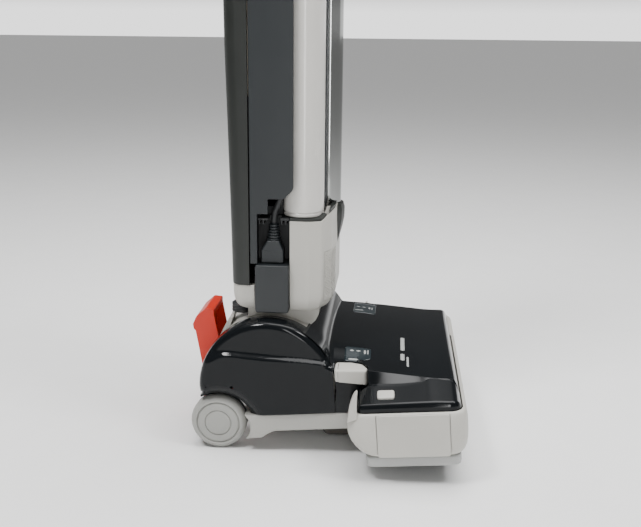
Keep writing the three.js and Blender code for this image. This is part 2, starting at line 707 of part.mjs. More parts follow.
function filterPanel() {
  return slab(housingPlan(0), 190, 250).intersect(box(-6, 20, -79, 79, 180, 260))
    .subtract(slab(housingPlan(2.6), 180, 260)).subtract(holder(0.5));
}

function gasket() {
  return slab(housingPlan(1.6), 289.3, 292.1)
    .subtract(slab(housingPlan(9).map(([x, y]) => [x < -40 ? -46 : x, y]), 280, 300)
      .subtract(box(-48, -42, -100, 100, 280, 300)))
    .subtract(holder(0.5));
}

function suctionMotor() {
  return turnedZ([
    [0, 196], [22, 196], [24, 198], [36, 204], [38, 208], [38, 246], [34, 250], [34, 270], [20, 276], [20, 281],
    [0, 281],
  ], -46, 0, 32);
}

function dustBag() {
  const level = (inset, z) => rounded([
    [-108 + inset, -74 + inset, 8], [-68 - inset, -74 + inset, 8],
    [-68 - inset, 74 - inset, 8], [-108 + inset, 74 - inset, 8],
  ], 3).map(([x, y]) => [x, y, z]);
  return loft([level(10, 430), level(2, 436), level(0, 446), level(0, 738), level(10, 748)], 'z');
}

function topCap() {
  const level = (rear, front, half, z, r) => rounded([
    [front, -half, r], [front, half, r], [rear, half, r], [rear, -half, r],
  ], 4).map(([x, y]) => [x, y, z]);
  const cap = loft([
    level(-120, -9, 88, BODY_TOP + 0.3, 16), level(-116, -12, 84, 816, 16), level(-104, -18, 62, 832, 16),
    level(-92, -30, 36, 842, 14),
  ], 'z');
  const hook = prism(rounded([
    [-100, 806], [-100, 818], [-137, 822, 4], [-146, 812, 4], [-146, 803, 2], [-141, 803, 2], [-139, 813, 3], [-118, 808, 3],
  ], 3), -17, 17);
  return cap.add(hook).subtract(barZ(WAND[0], 0, WAND[1] + 0.8, 790, 900, 32))
    .subtract(barZ(-60, 0, 15.4, 834, 900, 28)).subtract(box(-36.3, -17.7, 25.7, 54.3, 828, 850))
    .subtract(barX(48, 812, 6.3, -140, -104, 20));
}

function handleStem() {
  return turnedZ([[12.6, 834.4], [15, 834.4], [15, 1052], [12.6, 1052], [12.6, 834.4]], -60, 0, 28);
}

function handleGrip() {
  const loop = sweep([
    [-60, 0, 1082], [-52, 0, 1110], [-34, 0, 1150], [-38, 0, 1176], [-60, 0, 1184], [-88, 0, 1176],
    [-116, 0, 1150], [-118, 0, 1118], [-98, 0, 1092], [-66, 0, 1078],
  ], 13, 6, 22);
  const sleeve = barZ(-60, 0, 18, 1040, 1092, 28).subtract(barZ(-60, 0, 15.3, 1030, 1053, 28));
  return sleeve.add(loop.subtract(barZ(-60, 0, 15.3, 1030, 1053, 28)));
}

function powerSwitch() {
  return prism([[-35, 834], [-27, 828.8], [-19, 834], [-19, 838], [-27, 840.5], [-35, 846.5]], 26, 54);
}

function upperHook() {
  const arm = prism([
    [-74, 986], [-98, 988], [-109, 996], [-113, 1022], [-108, 1022.5], [-105, 1004], [-98, 1000],
    [-74, 1000],
  ], -8, 8);
  const collar = barZ(-60, 0, 20, 984, 1002, 28).subtract(barZ(-60, 0, 15.3, 980, 1010, 28));
  return collar.add(arm.subtract(barZ(-60, 0, 15.3, 980, 1010, 28)));
}

function mainsInlet() {
  return barX(48, 812, 6, -129, -104.4, 20).add(barX(48, 812, 4.2, -141, -128, 16));
}

function doorLatch() {
  return box(-118, -113.6, -18, 18, 222.3, 239.7);
}

place(body, 'neck_drum', neckDrum(), 'pale_grey');
place(body, 'hose_guard', hoseGuard(), 'pale_grey');
place(body, 'neck_hose', neckHose(), 'rubber');
place(body, 'rear_cover', rearCover(), 'charcoal');
place(body, 'rear_cap', rearCap(), 'pale_grey');
place(body, 'body_core', bodyCore(), 'black');
place(body, 'side_panel_right', sidePanelRight(), 'slate');
place(body, 'side_panel_left', sidePanelLeft(), 'slate');
place(body, 'socket_box', socketBox(), 'slate');
place(body, 'plug_body', plugBody(), 'slate');
place(body, 'plug_relief', plugRelief(), 'slate');
place(body, 'plug_lead', plugLead(), 'black');
place(body, 'cord_comb', cordComb(), 'black');
pair(body, 'pillar', pillar(), 'pale_grey');
place(body, 'front_spine', frontSpine(), 'slate');
place(body, 'wand', wandTube(), 'chrome');
place(body, 'wand_holder', holder(0), 'charcoal');
place(body, 'motor_housing', motorHousing(), 'pale_grey');
place(body, 'filter_panel', filterPanel(), 'pale_grey');
place(body, 'housing_gasket', gasket(), 'charcoal');
place(body, 'suction_motor', suctionMotor(), 'steel');
place(body, 'dust_bag', dustBag(), 'paper');
place(body, 'top_cap', topCap(), 'slate');
place(body, 'handle_stem', handleStem(), 'chrome');
place(body, 'handle_grip', handleGrip(), 'charcoal');
place(body, 'power_switch', powerSwitch(), 'red');
place(body, 'cord_hook_upper', upperHook(), 'charcoal');
place(body, 'mains_inlet', mainsInlet(), 'rubber');
place(body, 'door_latch', doorLatch(), 'pale_grey');

export default group;
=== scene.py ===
"""Upright vacuum cleaner, parked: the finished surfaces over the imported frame."""
import math

import bmesh
import bpy
from mathutils import Matrix, Vector


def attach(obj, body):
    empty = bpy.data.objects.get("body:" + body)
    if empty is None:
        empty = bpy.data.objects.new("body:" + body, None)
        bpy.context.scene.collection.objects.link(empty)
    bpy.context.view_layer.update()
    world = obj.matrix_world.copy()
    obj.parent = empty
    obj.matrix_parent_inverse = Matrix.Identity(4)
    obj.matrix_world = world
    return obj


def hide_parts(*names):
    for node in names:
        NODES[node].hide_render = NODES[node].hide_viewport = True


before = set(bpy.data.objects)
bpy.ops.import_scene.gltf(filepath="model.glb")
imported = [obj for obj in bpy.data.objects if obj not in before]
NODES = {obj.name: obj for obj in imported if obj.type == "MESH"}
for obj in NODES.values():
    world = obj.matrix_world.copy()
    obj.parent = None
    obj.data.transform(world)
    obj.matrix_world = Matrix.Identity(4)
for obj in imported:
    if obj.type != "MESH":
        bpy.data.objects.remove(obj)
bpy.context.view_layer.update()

# Frames, in millimetres ------------------------

CENTRE = (6.0, 0.0, -0.15)      # the shift that centres the machine on the origin
PITCH = math.radians(4.7)       # nose-up angle of the power head
AXLE = Vector((-134.1, 0, 34.9))
PIVOT = (-68.0, 79.5)           # handle pivot in the head's own frame, x and z
MM = Matrix.Scale(0.001, 4)
BODY = MM @ Matrix.Translation(CENTRE)
HEAD = BODY @ Matrix.Translation(AXLE) @ Matrix.Rotation(-PITCH, 4, "Y") @ Matrix.Translation(-AXLE)
HEAD_TO_BODY = BODY.inverted() @ HEAD
# The same pivot in the body's frame. The drum's solid cuts need this exact form of the sum.
HUB = Matrix.Translation(AXLE) @ Matrix.Rotation(-PITCH, 4, "Y") @ (Vector((PIVOT[0], 0, PIVOT[1])) - AXLE)

# Driving dimensions, in millimetres ------------

COVER_WALL = 2.2                # gloss covers
DOME_R = 84.5                   # domed top of the side covers, about the pivot
RAMP_R = 86.0                   # ramp of the head cover, about the pivot
DRUM_HOLE_R = 84.7              # opening in the head cover that the neck drum turns in
DRUM_R = 83.0                   # neck drum
DRUM_INNER_R = 79.4
DRUM_HALF = 76.8
DRUM_WALL = 3.4
ARCH = (-131.0, 32.0, 43.0)     # wheel arch: x, z, radius
ARCH_FLARE = (17.0, 8.0)        # hollow around the arch: width, depth
RAIL = 46.3                     # foot of the side covers
SEAM = 14.0                     # x where the side covers meet the head cover
COVER_TOP = 106.5
WIDE = 45.4                     # x where the head cover widens
BUMPER_WALL = 5.0
WHEEL_R = 34.9
BODY_TOP = 800.0
PILLAR = (-33.0, 60.0, 24.5)    # x, distance from the middle, radius
WAND = (-8.0, 16.0)             # x, radius
WAND_TOP = 870.0

# Camera ----------------------------------------

EYE = (0.080, -1.08, 0.50685)   # metres
SENSOR = 36.0
LENS = 48.6365
YAW = math.radians(-4.83)
DOWN = math.radians(15.07)
ROLL = math.radians(0.56)


def camera():
    ahead = Vector((math.sin(YAW) * math.cos(DOWN), math.cos(YAW) * math.cos(DOWN), -math.sin(DOWN)))
    level = ahead.cross(Vector((0, 0, 1))).normalized()
    over = level.cross(ahead)
    right = math.cos(ROLL) * level + math.sin(ROLL) * over
    up = math.cos(ROLL) * over - math.sin(ROLL) * level
    data = bpy.data.cameras.new("camera")
    data.sensor_width = SENSOR
    data.lens = LENS
    made = bpy.data.objects.new("camera", data)
    place = Matrix((right, up, -ahead)).transposed().to_4x4()
    place.translation = EYE
    made.matrix_world = place
    bpy.context.scene.collection.objects.link(made)
    bpy.context.scene.camera = made


# Outlines and skins ----------------------------


def lerp(a, b, t):
    return a + (b - a) * t


def clamp(v, low=0.0, high=1.0):
    return max(low, min(high, v))


def smooth(t):
    t = clamp(t)
    return t * t * (3 - 2 * t)


def table(points, x):
    """Straight-line lookup in a list of (x, value) pairs."""
    if x <= points[0][0]:
        return points[0][1]
    for (x0, v0), (x1, v1) in zip(points, points[1:]):
        if x <= x1:
            return lerp(v0, v1, (x - x0) / (x1 - x0))
    return points[-1][1]


def flow(points, x):
    """Smooth lookup through a list of (x, value) pairs."""
    if not points[0][0] < x < points[-1][0]:
        return points[0][1] if x <= points[0][0] else points[-1][1]
    i = max(k for k in range(len(points) - 1) if points[k][0] < x)
    rise = [(b[1] - a[1]) / (b[0] - a[0]) for a, b in zip(points, points[1:])]
    start = (rise[max(0, i - 1)] + rise[i]) / 2
    end = (rise[i] + rise[min(len(rise) - 1, i + 1)]) / 2
    (x0, v0), (x1, v1) = points[i], points[i + 1]
    wide = x1 - x0
    t = (x - x0) / wide
    bend = t * (1 - t) * ((start - rise[i]) * (1 - t) - (end - rise[i]) * t) * wide
    return lerp(v0, v1, t) + bend


def rounded(corners, steps=6):
    """Corner list (a, b[, radius]) turned into a polygon with true round corners."""
    out = []
    for i, corner in enumerate(corners):
        here = Vector(corner[:2])
        r = corner[2] if len(corner) > 2 else 0
        if not r:
            out.append(tuple(here))
            continue
        u = (Vector(corners[i - 1][:2]) - here).normalized()
        v = (Vector(corners[(i + 1) % len(corners)][:2]) - here).normalized()
        half = math.acos(clamp(u.dot(v), -1, 1)) / 2
        middle = here + (u + v).normalized() * (r / math.sin(half))
        start = here + u * (r / math.tan(half)) - middle
        end = here + v * (r / math.tan(half)) - middle
        turn = start.angle_signed(end)
        for k in range(steps + 1):
            a = -turn * k / steps
            out.append((middle.x + start.x * math.cos(a) - start.y * math.sin(a),
                        middle.y + start.x * math.sin(a) + start.y * math.cos(a)))
    return out


def arc(x, z, r, start, end, steps):
    turns = [math.radians(lerp(start, end, i / steps)) for i in range(steps + 1)]
    return [(x + r * math.cos(t), z + r * math.sin(t)) for t in turns]


def skin(loops, closed=True, caps=True):
    """Quads through equal-length loops of points, with the two end loops filled if asked."""
    count = len(loops[0])
    verts = [p for loop in loops for p in loop]
    faces = []
    for k in range(len(loops) - 1):
        for i in range(count if closed else count - 1):
            j = (i + 1) % count
            faces.append((k * count + i, k * count + j, (k + 1) * count + j, (k + 1) * count + i))
    if caps:
        last = (len(loops) - 1) * count
        faces.append(tuple(range(count - 1, -1, -1)))
        faces.append(tuple(range(last, last + count)))
    return verts, faces


def prism(points, y0, y1):
    """Outline in x and z pushed along y."""
    return skin([[(x, y, z) for x, z in points] for y in (y0, y1)])


def slab(points, z0, z1):
    """Outline in x and y pushed along z."""
    return skin([[(x, y, z) for x, y in points] for z in (z0, z1)])


def box_shape(x0, x1, y0, y1, z0, z1):
    return slab([(x0, y0), (x1, y0), (x1, y1), (x0, y1)], z0, z1)


def turned(profile, middle, axis="Y", sides=96):
    """Profile (radius, along) turned about a line through middle."""
    loops = []
    for r, along in profile:
        ring = []
        for i in range(sides):
            t = 2 * math.pi * i / sides
            a, b = max(r, 0.01) * math.cos(t), max(r, 0.01) * math.sin(t)
            if axis == "Y":
                ring.append((middle[0] + a, along, middle[1] + b))
            else:
                ring.append((middle[0] + a, middle[1] + b, along))
        loops.append(ring)
    return skin(loops)


def tube(points, radius, sides=20, steps=6):
    """Round tube along a smooth curve through points."""
    path = []
    for i in range(len(points) - 1):
        a, b, c, d = [Vector(points[clamp(i + k, 0, len(points) - 1)]) for k in (-1, 0, 1, 2)]
        for s in range(steps):
            t = s / steps
            bend = (2 * a - 5 * b + 4 * c - d) * t * t + (3 * b - a - 3 * c + d) * t ** 3
            path.append(0.5 * (2 * b + (c - a) * t + bend))
    path.append(Vector(points[-1]))
    turns = [2 * math.pi * k / sides for k in range(sides)]
    side = Vector((0, 1, 0))
    loops = []
    for i, here in enumerate(path):
        ahead = (path[min(i + 1, len(path) - 1)] - path[max(i - 1, 0)]).normalized()
        side = (side - ahead * side.dot(ahead)).normalized()
        over = ahead.cross(side)
        loops.append([tuple(here + (side * math.cos(t) + over * math.sin(t)) * radius) for t in turns])
    return skin(loops)


def joined(*shapes):
    """Several shapes as one."""
    verts, faces = [], []
    for v, f in shapes:
        start = len(verts)
        verts += list(v)
        faces += [tuple(i + start for i in face) for face in f]
    return verts, faces


def flipped(shape):
    """The same shape on the machine's other side."""
    verts, faces = shape
    return [(x, -y, z) for x, y, z in verts], [tuple(reversed(f)) for f in faces]


def both(shape):
    """The shape for the right side and for the left one."""
    return ("right", shape), ("left", flipped(shape))


# Pieces ----------------------------------------


def new_object(name, shape, place):
    """A scene object from a shape in millimetres, given in the frame that place stands for."""
    verts, faces = shape
    mesh = bpy.data.meshes.new(name)
    mesh.from_pydata([place @ Vector(v) for v in verts], [], faces)
    made = bpy.data.objects.new(name, mesh)
    bpy.context.scene.collection.objects.link(made)
    return made


def face_outward(mesh):
    bm = bmesh.new()
    bm.from_mesh(mesh)
    bmesh.ops.recalc_face_normals(bm, faces=bm.faces)
    bm.to_mesh(mesh)
    bm.free()


def piece(name, shape, place, body, look, stands_for=(), weld=False):
    """A named piece that rides on a body, and the CAD nodes that it replaces."""
    made = new_object(name, shape, place)
    made.data.validate()
    if weld:
        made.modifiers.new("weld", "WELD").merge_threshold = 2e-5
        bake(made)
    face_outward(made.data)
    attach(made, body)
    if stands_for:
        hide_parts(*stands_for)
    finish_with(made, look)
    return made


def finish_with(obj, look):
    """Gives the object one look, its material slot and smooth faces."""
    material, slot_name = LOOKS[look]
    obj.data.materials.clear()
    obj.data.materials.append(material)
    obj.data.polygons.foreach_set("use_smooth", [True] * len(obj.data.polygons))


def bake(obj):
    """Replaces the mesh with its modified shape."""
    made = bpy.data.meshes.new_from_object(obj.evaluated_get(bpy.context.evaluated_depsgraph_get()))
    obj.modifiers.clear()
    obj.data = made


def thicken(obj, thickness, even=True):
    """Gives an open skin a wall, inward from its face."""
    wall = obj.modifiers.new("wall", "SOLIDIFY")
    wall.thickness = thickness * 0.001
    wall.offset = -1.0
    wall.use_even_offset = even
    bake(obj)


def cut(obj, shape, place, operation="DIFFERENCE", solver="EXACT"):
    """Cuts a shape out of the object, or joins it on with operation UNION."""
    tool = new_object("tool", shape, place)
    face_outward(tool.data)
    change = obj.modifiers.new("cut", "BOOLEAN")
    change.operation = operation
    change.object = tool
    change.solver = solver
    bake(obj)
    bpy.data.objects.remove(tool)


def edges(obj, width=0.0, segments=3, angle=32):
    """Rounded edges in millimetres, with shading that stays flat on flat faces."""
    if width:
        bevel = obj.modifiers.new("edges", "BEVEL")
        bevel.width = width * 0.001
        bevel.segments = segments
        bevel.limit_method = "ANGLE"
        bevel.angle_limit = math.radians(angle)
        bevel.use_clamp_overlap = True
        bevel.miter_outer = "MITER_ARC"
    shade = obj.modifiers.new("shade", "WEIGHTED_NORMAL")
    shade.mode = "FACE_AREA"
    shade.keep_sharp = False


# Materials -------------------------------------


def noise(tree, where, scale, detail):
    node = tree.nodes.new("ShaderNodeTexNoise")
    node.inputs["Scale"].default_value = scale
    node.inputs["Detail"].default_value = detail
    tree.links.new(where, node.inputs["Vector"])
    return node


def moulded(name, colour, rough, vary=0.06, grain=0.0, grain_size=0.0006, coat=0.0, metal=0.0,
            streak=0.0, spread=0.05, ior=1.47):
    """Moulded plastic, rubber or metal: mottled colour, uneven gloss, fine surface grain."""
    material = bpy.data.materials.new(name)
    material.use_nodes = True
    tree = material.node_tree
    nodes, links = tree.nodes, tree.links
    shader = nodes["Principled BSDF"]
    shader.inputs["Metallic"].default_value = metal
    shader.inputs["Coat Weight"].default_value = coat
    shader.inputs["Coat Roughness"].default_value = 0.06
    shader.inputs["IOR"].default_value = ior
    where = nodes.new("ShaderNodeTexCoord")

    cloud = noise(tree, where.outputs["Object"], 14, 6)
    tint = nodes.new("ShaderNodeValToRGB")
    tint.color_ramp.elements[0].position = 0.3
    tint.color_ramp.elements[1].position = 0.72
    tint.color_ramp.elements[0].color = [c * (1 - vary) for c in colour] + [1]
    tint.color_ramp.elements[1].color = [min(1, c * (1 + vary)) for c in colour] + [1]
    links.new(cloud.outputs["Fac"], tint.inputs["Fac"])
    links.new(tint.outputs["Color"], shader.inputs["Base Color"])

    stretch = nodes.new("ShaderNodeMapping")
    stretch.inputs["Scale"].default_value = (1, 1, 0.18) if streak else (1, 1, 1)
    links.new(where.outputs["Object"], stretch.inputs["Vector"])
    wipe = noise(tree, stretch.outputs["Vector"], 55, 8)
    wipe.inputs["Roughness"].default_value = 0.65
    gloss = nodes.new("ShaderNodeMapRange")
    gloss.inputs["From Min"].default_value = 0.3
    gloss.inputs["From Max"].default_value = 0.75
    gloss.inputs["To Min"].default_value = max(0.02, rough - spread)
    gloss.inputs["To Max"].default_value = min(1, rough + spread + streak)
    links.new(wipe.outputs["Fac"], gloss.inputs["Value"])
    links.new(gloss.outputs["Result"], shader.inputs["Roughness"])

    if grain:
        pits = noise(tree, where.outputs["Object"], 1 / grain_size, 3)
        bump = nodes.new("ShaderNodeBump")
        bump.inputs["Strength"].default_value = grain
        bump.inputs["Distance"].default_value = 0.0003
        links.new(pits.outputs["Fac"], bump.inputs["Height"])
        links.new(bump.outputs["Normal"], shader.inputs["Normal"])
    return material


def make_looks():
    """Each look: its material, and the material slot of the CAD that it belongs to."""
    return {
        "pale": (moulded("pale_plastic", (0.47, 0.458, 0.42), 0.42, 0.05, 0.10, 0.0009), "pale_plastic"),
        # wheel and rail: the pale plastic made darker, painted shade for the low parts that face away from
        # the light
        "wheel": (moulded("wheel_pale_shaded", (0.33, 0.33, 0.31), 0.48, 0.06, 0.14, 0.001), "pale_plastic"),
        "rail": (moulded("rail_pale_shaded", (0.37, 0.365, 0.34), 0.46, 0.05, 0.12, 0.001), "pale_plastic"),
        "pillar": (moulded("pillar_plastic", (0.60, 0.585, 0.55), 0.2, 0.03, coat=0.5, streak=0.05),
                   "pale_gloss"),
        "gloss": (moulded("gloss_black", (0.0055, 0.0065, 0.0075), 0.09, 0.12, 0.012, 0.003,
                          spread=0.025, ior=1.28), "gloss_black"),
        "sole": (moulded("sole_plastic", (0.38, 0.385, 0.375), 0.5, 0.06, 0.12, 0.001), "sole_plastic"),
        "slate": (moulded("slate_plastic", (0.0125, 0.0155, 0.0175), 0.4, 0.08, 0.08, 0.0008, streak=0.05),
                  "slate_plastic"),
        "charcoal": (moulded("charcoal_plastic", (0.0105, 0.0125, 0.0105), 0.42, 0.1, 0.16, 0.0009),
                     "charcoal_plastic"),
        "black": (moulded("black_plastic", (0.008, 0.009, 0.010), 0.55, 0.15, 0.15, 0.001),
                  "black_plastic"),
        "red": (moulded("red_plastic", (0.62, 0.018, 0.0002), 0.36, 0.07, 0.08, 0.0009), "red_plastic"),
        "chrome": (moulded("chrome_tube", (0.30, 0.305, 0.30), 0.07, 0.03, metal=1.0, spread=0.03),
                   "chrome"),
        "steel": (moulded("turned_steel", (0.45, 0.46, 0.47), 0.3, 0.08, 0.1, 0.0006, metal=1.0), "steel"),
        # roller: dark brown-grey, painted shade for the lift frame under the machine
        "roller": (moulded("roller_shade_brown", (0.072, 0.064, 0.055), 0.6, 0.12, 0.2, 0.001),
                   "roller_plastic"),
        "rubber": (moulded("rubber", (0.014, 0.015, 0.016), 0.5, 0.15, 0.2, 0.0009), "rubber"),
        "bristle": (moulded("bristle", (0.016, 0.02, 0.025), 0.8, 0.3, 0.8, 0.0007), "bristle"),
        "paper": (moulded("paper_bag", (0.60, 0.55, 0.45), 0.85, 0.1, 0.6, 0.0008), "paper_bag"),
        "label": (moulded("label_film", (0.011, 0.018, 0.022), 0.3, 0.1, 0.05, 0.0006), "label_print"),
        "print": (moulded("print_ink", (0.34, 0.35, 0.34), 0.5, 0.05, 0.1, 0.0005), "label_print"),
    }


# Carried CAD nodes -----------------------------

# CAD nodes whose shape is already right: edge width in millimetres and look.
CARRIED = {
    # front_insert is pale and sits only on the far front chamfer: its light colour is a painted reflection
    # on the glossy chamfer
    "base_chassis": (1.2, "rail"), "front_insert": (0.6, "pale"), "sole_plate": (0.0, "sole"),
    "brush_roller": (0.4, "black"), "bristle_row_1": (0.0, "bristle"), "bristle_row_2": (0.0, "bristle"),
    "brush_motor": (0.4, "steel"), "motor_pulley": (0.2, "steel"), "drive_belt": (0.0, "rubber"),
    "axle_right": (0.0, "steel"), "axle_left": (0.0, "steel"), "lift_frame": (0.8, "roller"),
    "lift_roller_right": (0.3, "rubber"), "lift_roller_left": (0.3, "rubber"),
    "pivot_bush_right": (0.3, "black"), "pivot_bush_left": (0.3, "black"), "hose_guard": (0.8, "pale"),
    "neck_hose": (0.0, "rubber"), "body_core": (0.8, "black"), "side_panel_left": (1.0, "slate"),
    "cord_comb": (0.3, "black"), "front_spine": (1.2, "slate"), "suction_motor": (0.5, "steel"),
    "dust_bag": (2.0, "paper"), "top_cap": (1.5, "slate"), "handle_stem": (0.3, "chrome"),
    "handle_grip": (0.8, "charcoal"), "power_switch": (0.8, "red"), "cord_hook_upper": (1.5, "charcoal"),
    "mains_inlet": (0.6, "rubber"), "door_latch": (1.0, "pale"),
}


def carry():
    """Welds, smooths and rounds the CAD nodes that stay."""
    for name, (width, look) in CARRIED.items():
        obj = NODES[name]
        for old in ("custom_normal", "sharp_edge", "sharp_face"):
            if old in obj.data.attributes:
                obj.data.attributes.remove(obj.data.attributes[old])
        obj.modifiers.new("weld", "WELD").merge_threshold = 1e-5
        finish_with(obj, look)
        edges(obj, width, 3, 30)


# Side covers -----------------------------------

# Lower and upper line of the step across the side cover: x, z.
LOW_CREASE = [(-132, 117), (-125, 121), (-118, 123.6), (-109, 124), (-85, 120.4), (-61, 117), (-37, 115),
              (-13, 112), (5, 108), (14, 105)]
HIGH_CREASE = [(-132, 131), (-119, 131), (-97, 128), (-73, 124.6), (-49, 120.8), (-25, 117.6), (-7, 114.6),
               (5, 112.5), (14, 111)]


def cover_out(x, z, rim):
    """How far out the side cover's face is; rim is how far the point is inside the cover's edge."""
    low = flow(LOW_CREASE, x)
    high = max(flow(HIGH_CREASE, x), low + 1.5)
    out = 115.2 - 5.2 * smooth((z - low) / (high - low))
    out -= 1.6 * ((x + 60) / 90) ** 2
    out -= 1.4 * clamp((70 - z) / 30) ** 2
    width, depth = ARCH_FLARE
    flare = clamp((ARCH[2] + width - math.hypot(x - ARCH[0], z - ARCH[1])) / width)
    out -= depth * flare * flare
    reach = 9.0
    if rim < reach:
        out -= reach - math.sqrt(max(0, reach ** 2 - (reach - rim) ** 2))
    return out


def rim_points(count):
    """Upper edge of the side cover, front to rear, with the way inward at each point."""
    start = math.degrees(math.asin((COVER_TOP - PIVOT[1]) / DOME_R))
    made = [((SEAM - 0.2, COVER_TOP), (0, -1))]
    for i in range(count):
        t = math.radians(lerp(start, 180.9, i / (count - 1)))
        made.append(((PIVOT[0] + DOME_R * math.cos(t), PIVOT[1] + DOME_R * math.sin(t)),
                     (-math.cos(t), -math.sin(t))))
    return made


def base_points(count):
    """Lower edge of the side cover, front to rear: along the rail, then over the wheel arch."""
    x, z, r = ARCH
    first = math.degrees(math.asin((RAIL - z) / r))
    last = math.degrees(math.acos((PIVOT[0] - DOME_R - x) / r))
    foot = x + r * math.cos(math.radians(first))
    straight = (SEAM - 0.2) - foot
    curved = r * math.radians(last - first)
    made = []
    for i in range(count):
        s = (straight + curved) * i / (count - 1)
        if s < straight:
            made.append((SEAM - 0.2 - s, RAIL))
        else:
            t = math.radians(lerp(first, last, (s - straight) / curved))
            made.append((x + r * math.cos(t), z + r * math.sin(t)))
    return made


def side_cover():
    """Skin of the right side cover, in columns from its upper edge down to its lower one."""
    count = 190
    steps = 64
    rims = rim_points(count)
    bases = base_points(count + 1)
    columns = []
    for (point, inward), base in zip(rims, bases):
        column = []
        edge = cover_out(point[0], point[1], 0)
        for out, drop in ((80.0, 1.0), (80.6, 0.3), (82, 0.0), (90, -0.5), (lerp(90, edge, 0.5), -0.4)):
            column.append((point[0] + inward[0] * drop, -out, point[1] + inward[1] * drop))
        deep = min(8.0, 0.55 * math.dist(point, base))
        for d in [deep * k for k in (0, 0.03, 0.1, 0.21, 0.37, 0.56, 0.78, 1)]:
            x, z = point[0] + inward[0] * d, point[1] + inward[1] * d
            column.append((x, -cover_out(x, z, d), z))
        x0, z0 = point[0] + inward[0] * deep, point[1] + inward[1] * deep
        for k in range(1, steps + 1):
            t = k / steps
            x, z = lerp(x0, base[0], t), lerp(z0, base[1], t)
            column.append((x, -cover_out(x, z, max(deep, dome_depth(x, z))), z))
        last = column[-1]
        column.append((last[0], last[1] + 0.9, last[2]))
        column.append((last[0], -86.0, last[2]))
        columns.append(column)
    return skin(columns, closed=False, caps=False)


def dome_depth(x, z):
    """How far inside the rounded upper edge a point of the face is."""
    disc = DOME_R - math.hypot(x - PIVOT[0], z - PIVOT[1])
    block = min(COVER_TOP - z, x - (PIVOT[0] - DOME_R) if x < PIVOT[0] else 99)
    return max(disc, block)


def make_side_covers():
    shape = side_cover()
    screw_hole = turned([(0, -130), (2.1, -130), (2.1, -100), (0, -100)], (-110.6, 84.2), sides=24)
    holes = dict(both(screw_hole))
    for side, made in both(shape):
        obj = piece(f"dome_cover_{side}", made, HEAD, "base", "gloss", [f"side_cover_{side}"], weld=True)
        thicken(obj, COVER_WALL, False)
        cut(obj, holes[side], HEAD)
        finish_with(obj, "gloss")
        edges(obj, 0.7, 2, 50)


# Head cover ------------------------------------


# Heights along x: the top's edge, the inner and the outer edge of the sloping side strip.
RIM_Z = [(-30, 113.5), (12, 113.3), (22, 112), (46, 108.7), (57, 106.4), (66, 105.3), (83, 102.6),
         (106, 98.8), (117, 97.0), (125, 95.6), (140, 93.8), (152, 92.8), (155, 92.3), (157, 91.2),
         (158.4, 89.4), (159.4, 87.0), (160.4, 83.5), (161.6, 79.0), (162.8, 74.5), (164, 71.0)]
FACET_Z = [(45, 82.6), (49, 85.2), (52, 87.2), (56.7, 90.0), (61, 91.2), (66, 91.6), (94, 90.6),
           (118, 91.5), (124, 92.4), (128, 94.0), (133, 94.0), (142, 92.6), (152, 91.2), (155, 90.2),
           (157, 88.6), (158.4, 86.6), (159.4, 84.0), (161.6, 77.6), (164, 70.9)]
STRIP_Z = [(45, 80.6), (150, 80.9), (157, 80.2), (160, 78.2), (162, 75.2), (164, 70.8)]
NEAR_DROP = [(-20, 0.9), (4, 1.2), (14, 7.0), (44, 6.5), (57, 1.5), (64, 0)]    # towards the right edge
ACROSS = (0.94, 0.87, 0.79, 0.7, 0.6, 0.5, 0.36, 0.2, 0.0)      # shares of the half width


def surface(x, y):
    """Height of the head cover's crowned top and of the ramp that rises behind it."""
    flat = flow(RIM_Z, x) + 5 * clamp((164 - x) / 10) * (1 - (y / 130) ** 2)
    reach = RAMP_R ** 2 - (x - PIVOT[0]) ** 2
    if reach > 0:
        ramp = PIVOT[1] + math.sqrt(reach)
        flat = (flat + ramp + math.hypot(flat - ramp, 2.2)) / 2
    if y < 0:
        flat -= table(NEAR_DROP, x) * smooth((-y - 62) / 38)
    return flat


def wide_half(x, inset):
    """Half section of the wide part: rim, sloping side strip, tapering facet, crowned top."""
    narrower = 14 - math.sqrt(196 - clamp(x - 150, 0, 14) ** 2)
    edge = surface(x, 130)
    strip_in = min(flow(FACET_Z, x), edge - 0.5) - inset
    strip_out = min(flow(STRIP_Z, x), strip_in - 0.4) - inset * 0.5
    rim = min(strip_out - 4.0, 76.8)
    low = min(rim - 0.4, 70.4)
    out = 172 - inset - narrower
    foot = 130 + clamp((edge - strip_in) / 2.5, 0.3, 7)
    return [(out, low), (out, max(rim, low + 0.2), 2.5), (out - 2.6, strip_out, 3.0), (foot, strip_in, 0.3),
            (130, edge, 0.3)]


def narrow_half(x, side):
    """Half section behind the wide part; the plain side keeps a lip over the wheel side."""
    top = surface(x, side * 113)
    if side < 0:
        if x < SEAM:
            return [(106.6, top - 5 + k) for k in range(4)] + [(106.6, top)]
        return [(112.4, 46.3), (113.2, 60), (113.2, 80), (113.2, top - 7, 4), (105, surface(x, -105), 4)]
    out = 107 + 23 * smooth((x + 22) / 30)
    top = surface(x, out)
    foot = 46.3 if x >= SEAM else top - 24
    return [(112.4 if x >= SEAM else 106, foot), (113.4, top - 22, 2), (out - 4, top - 9, 4),
            (out, top - 4, 2), (out - 0.6, top, 1.2)]


def half_line(x, half, side):
    """A half section's points from its corners, then across the top to the middle."""
    points = []
    last = half[-1][0]
    half = half + [(last * ACROSS[0], surface(x, side * last * ACROSS[0]))]
    for i, corner in enumerate(half[:-1]):
        here = Vector(corner[:2])
        if i == 0 or len(corner) < 3:
            points += [tuple(here)] * (1 if i == 0 else 7)
            continue
        u, v = Vector(half[i - 1][:2]) - here, Vector(half[i + 1][:2]) - here
        reach = min(corner[2], 0.45 * u.length, 0.45 * v.length)
        start, end = here + u.normalized() * reach, here + v.normalized() * reach
        for k in range(7):
            t = k / 6
            points.append(tuple(start * (1 - t) ** 2 + here * 2 * t * (1 - t) + end * t * t))
    return points + [(last * f, surface(x, side * last * f)) for f in ACROSS]


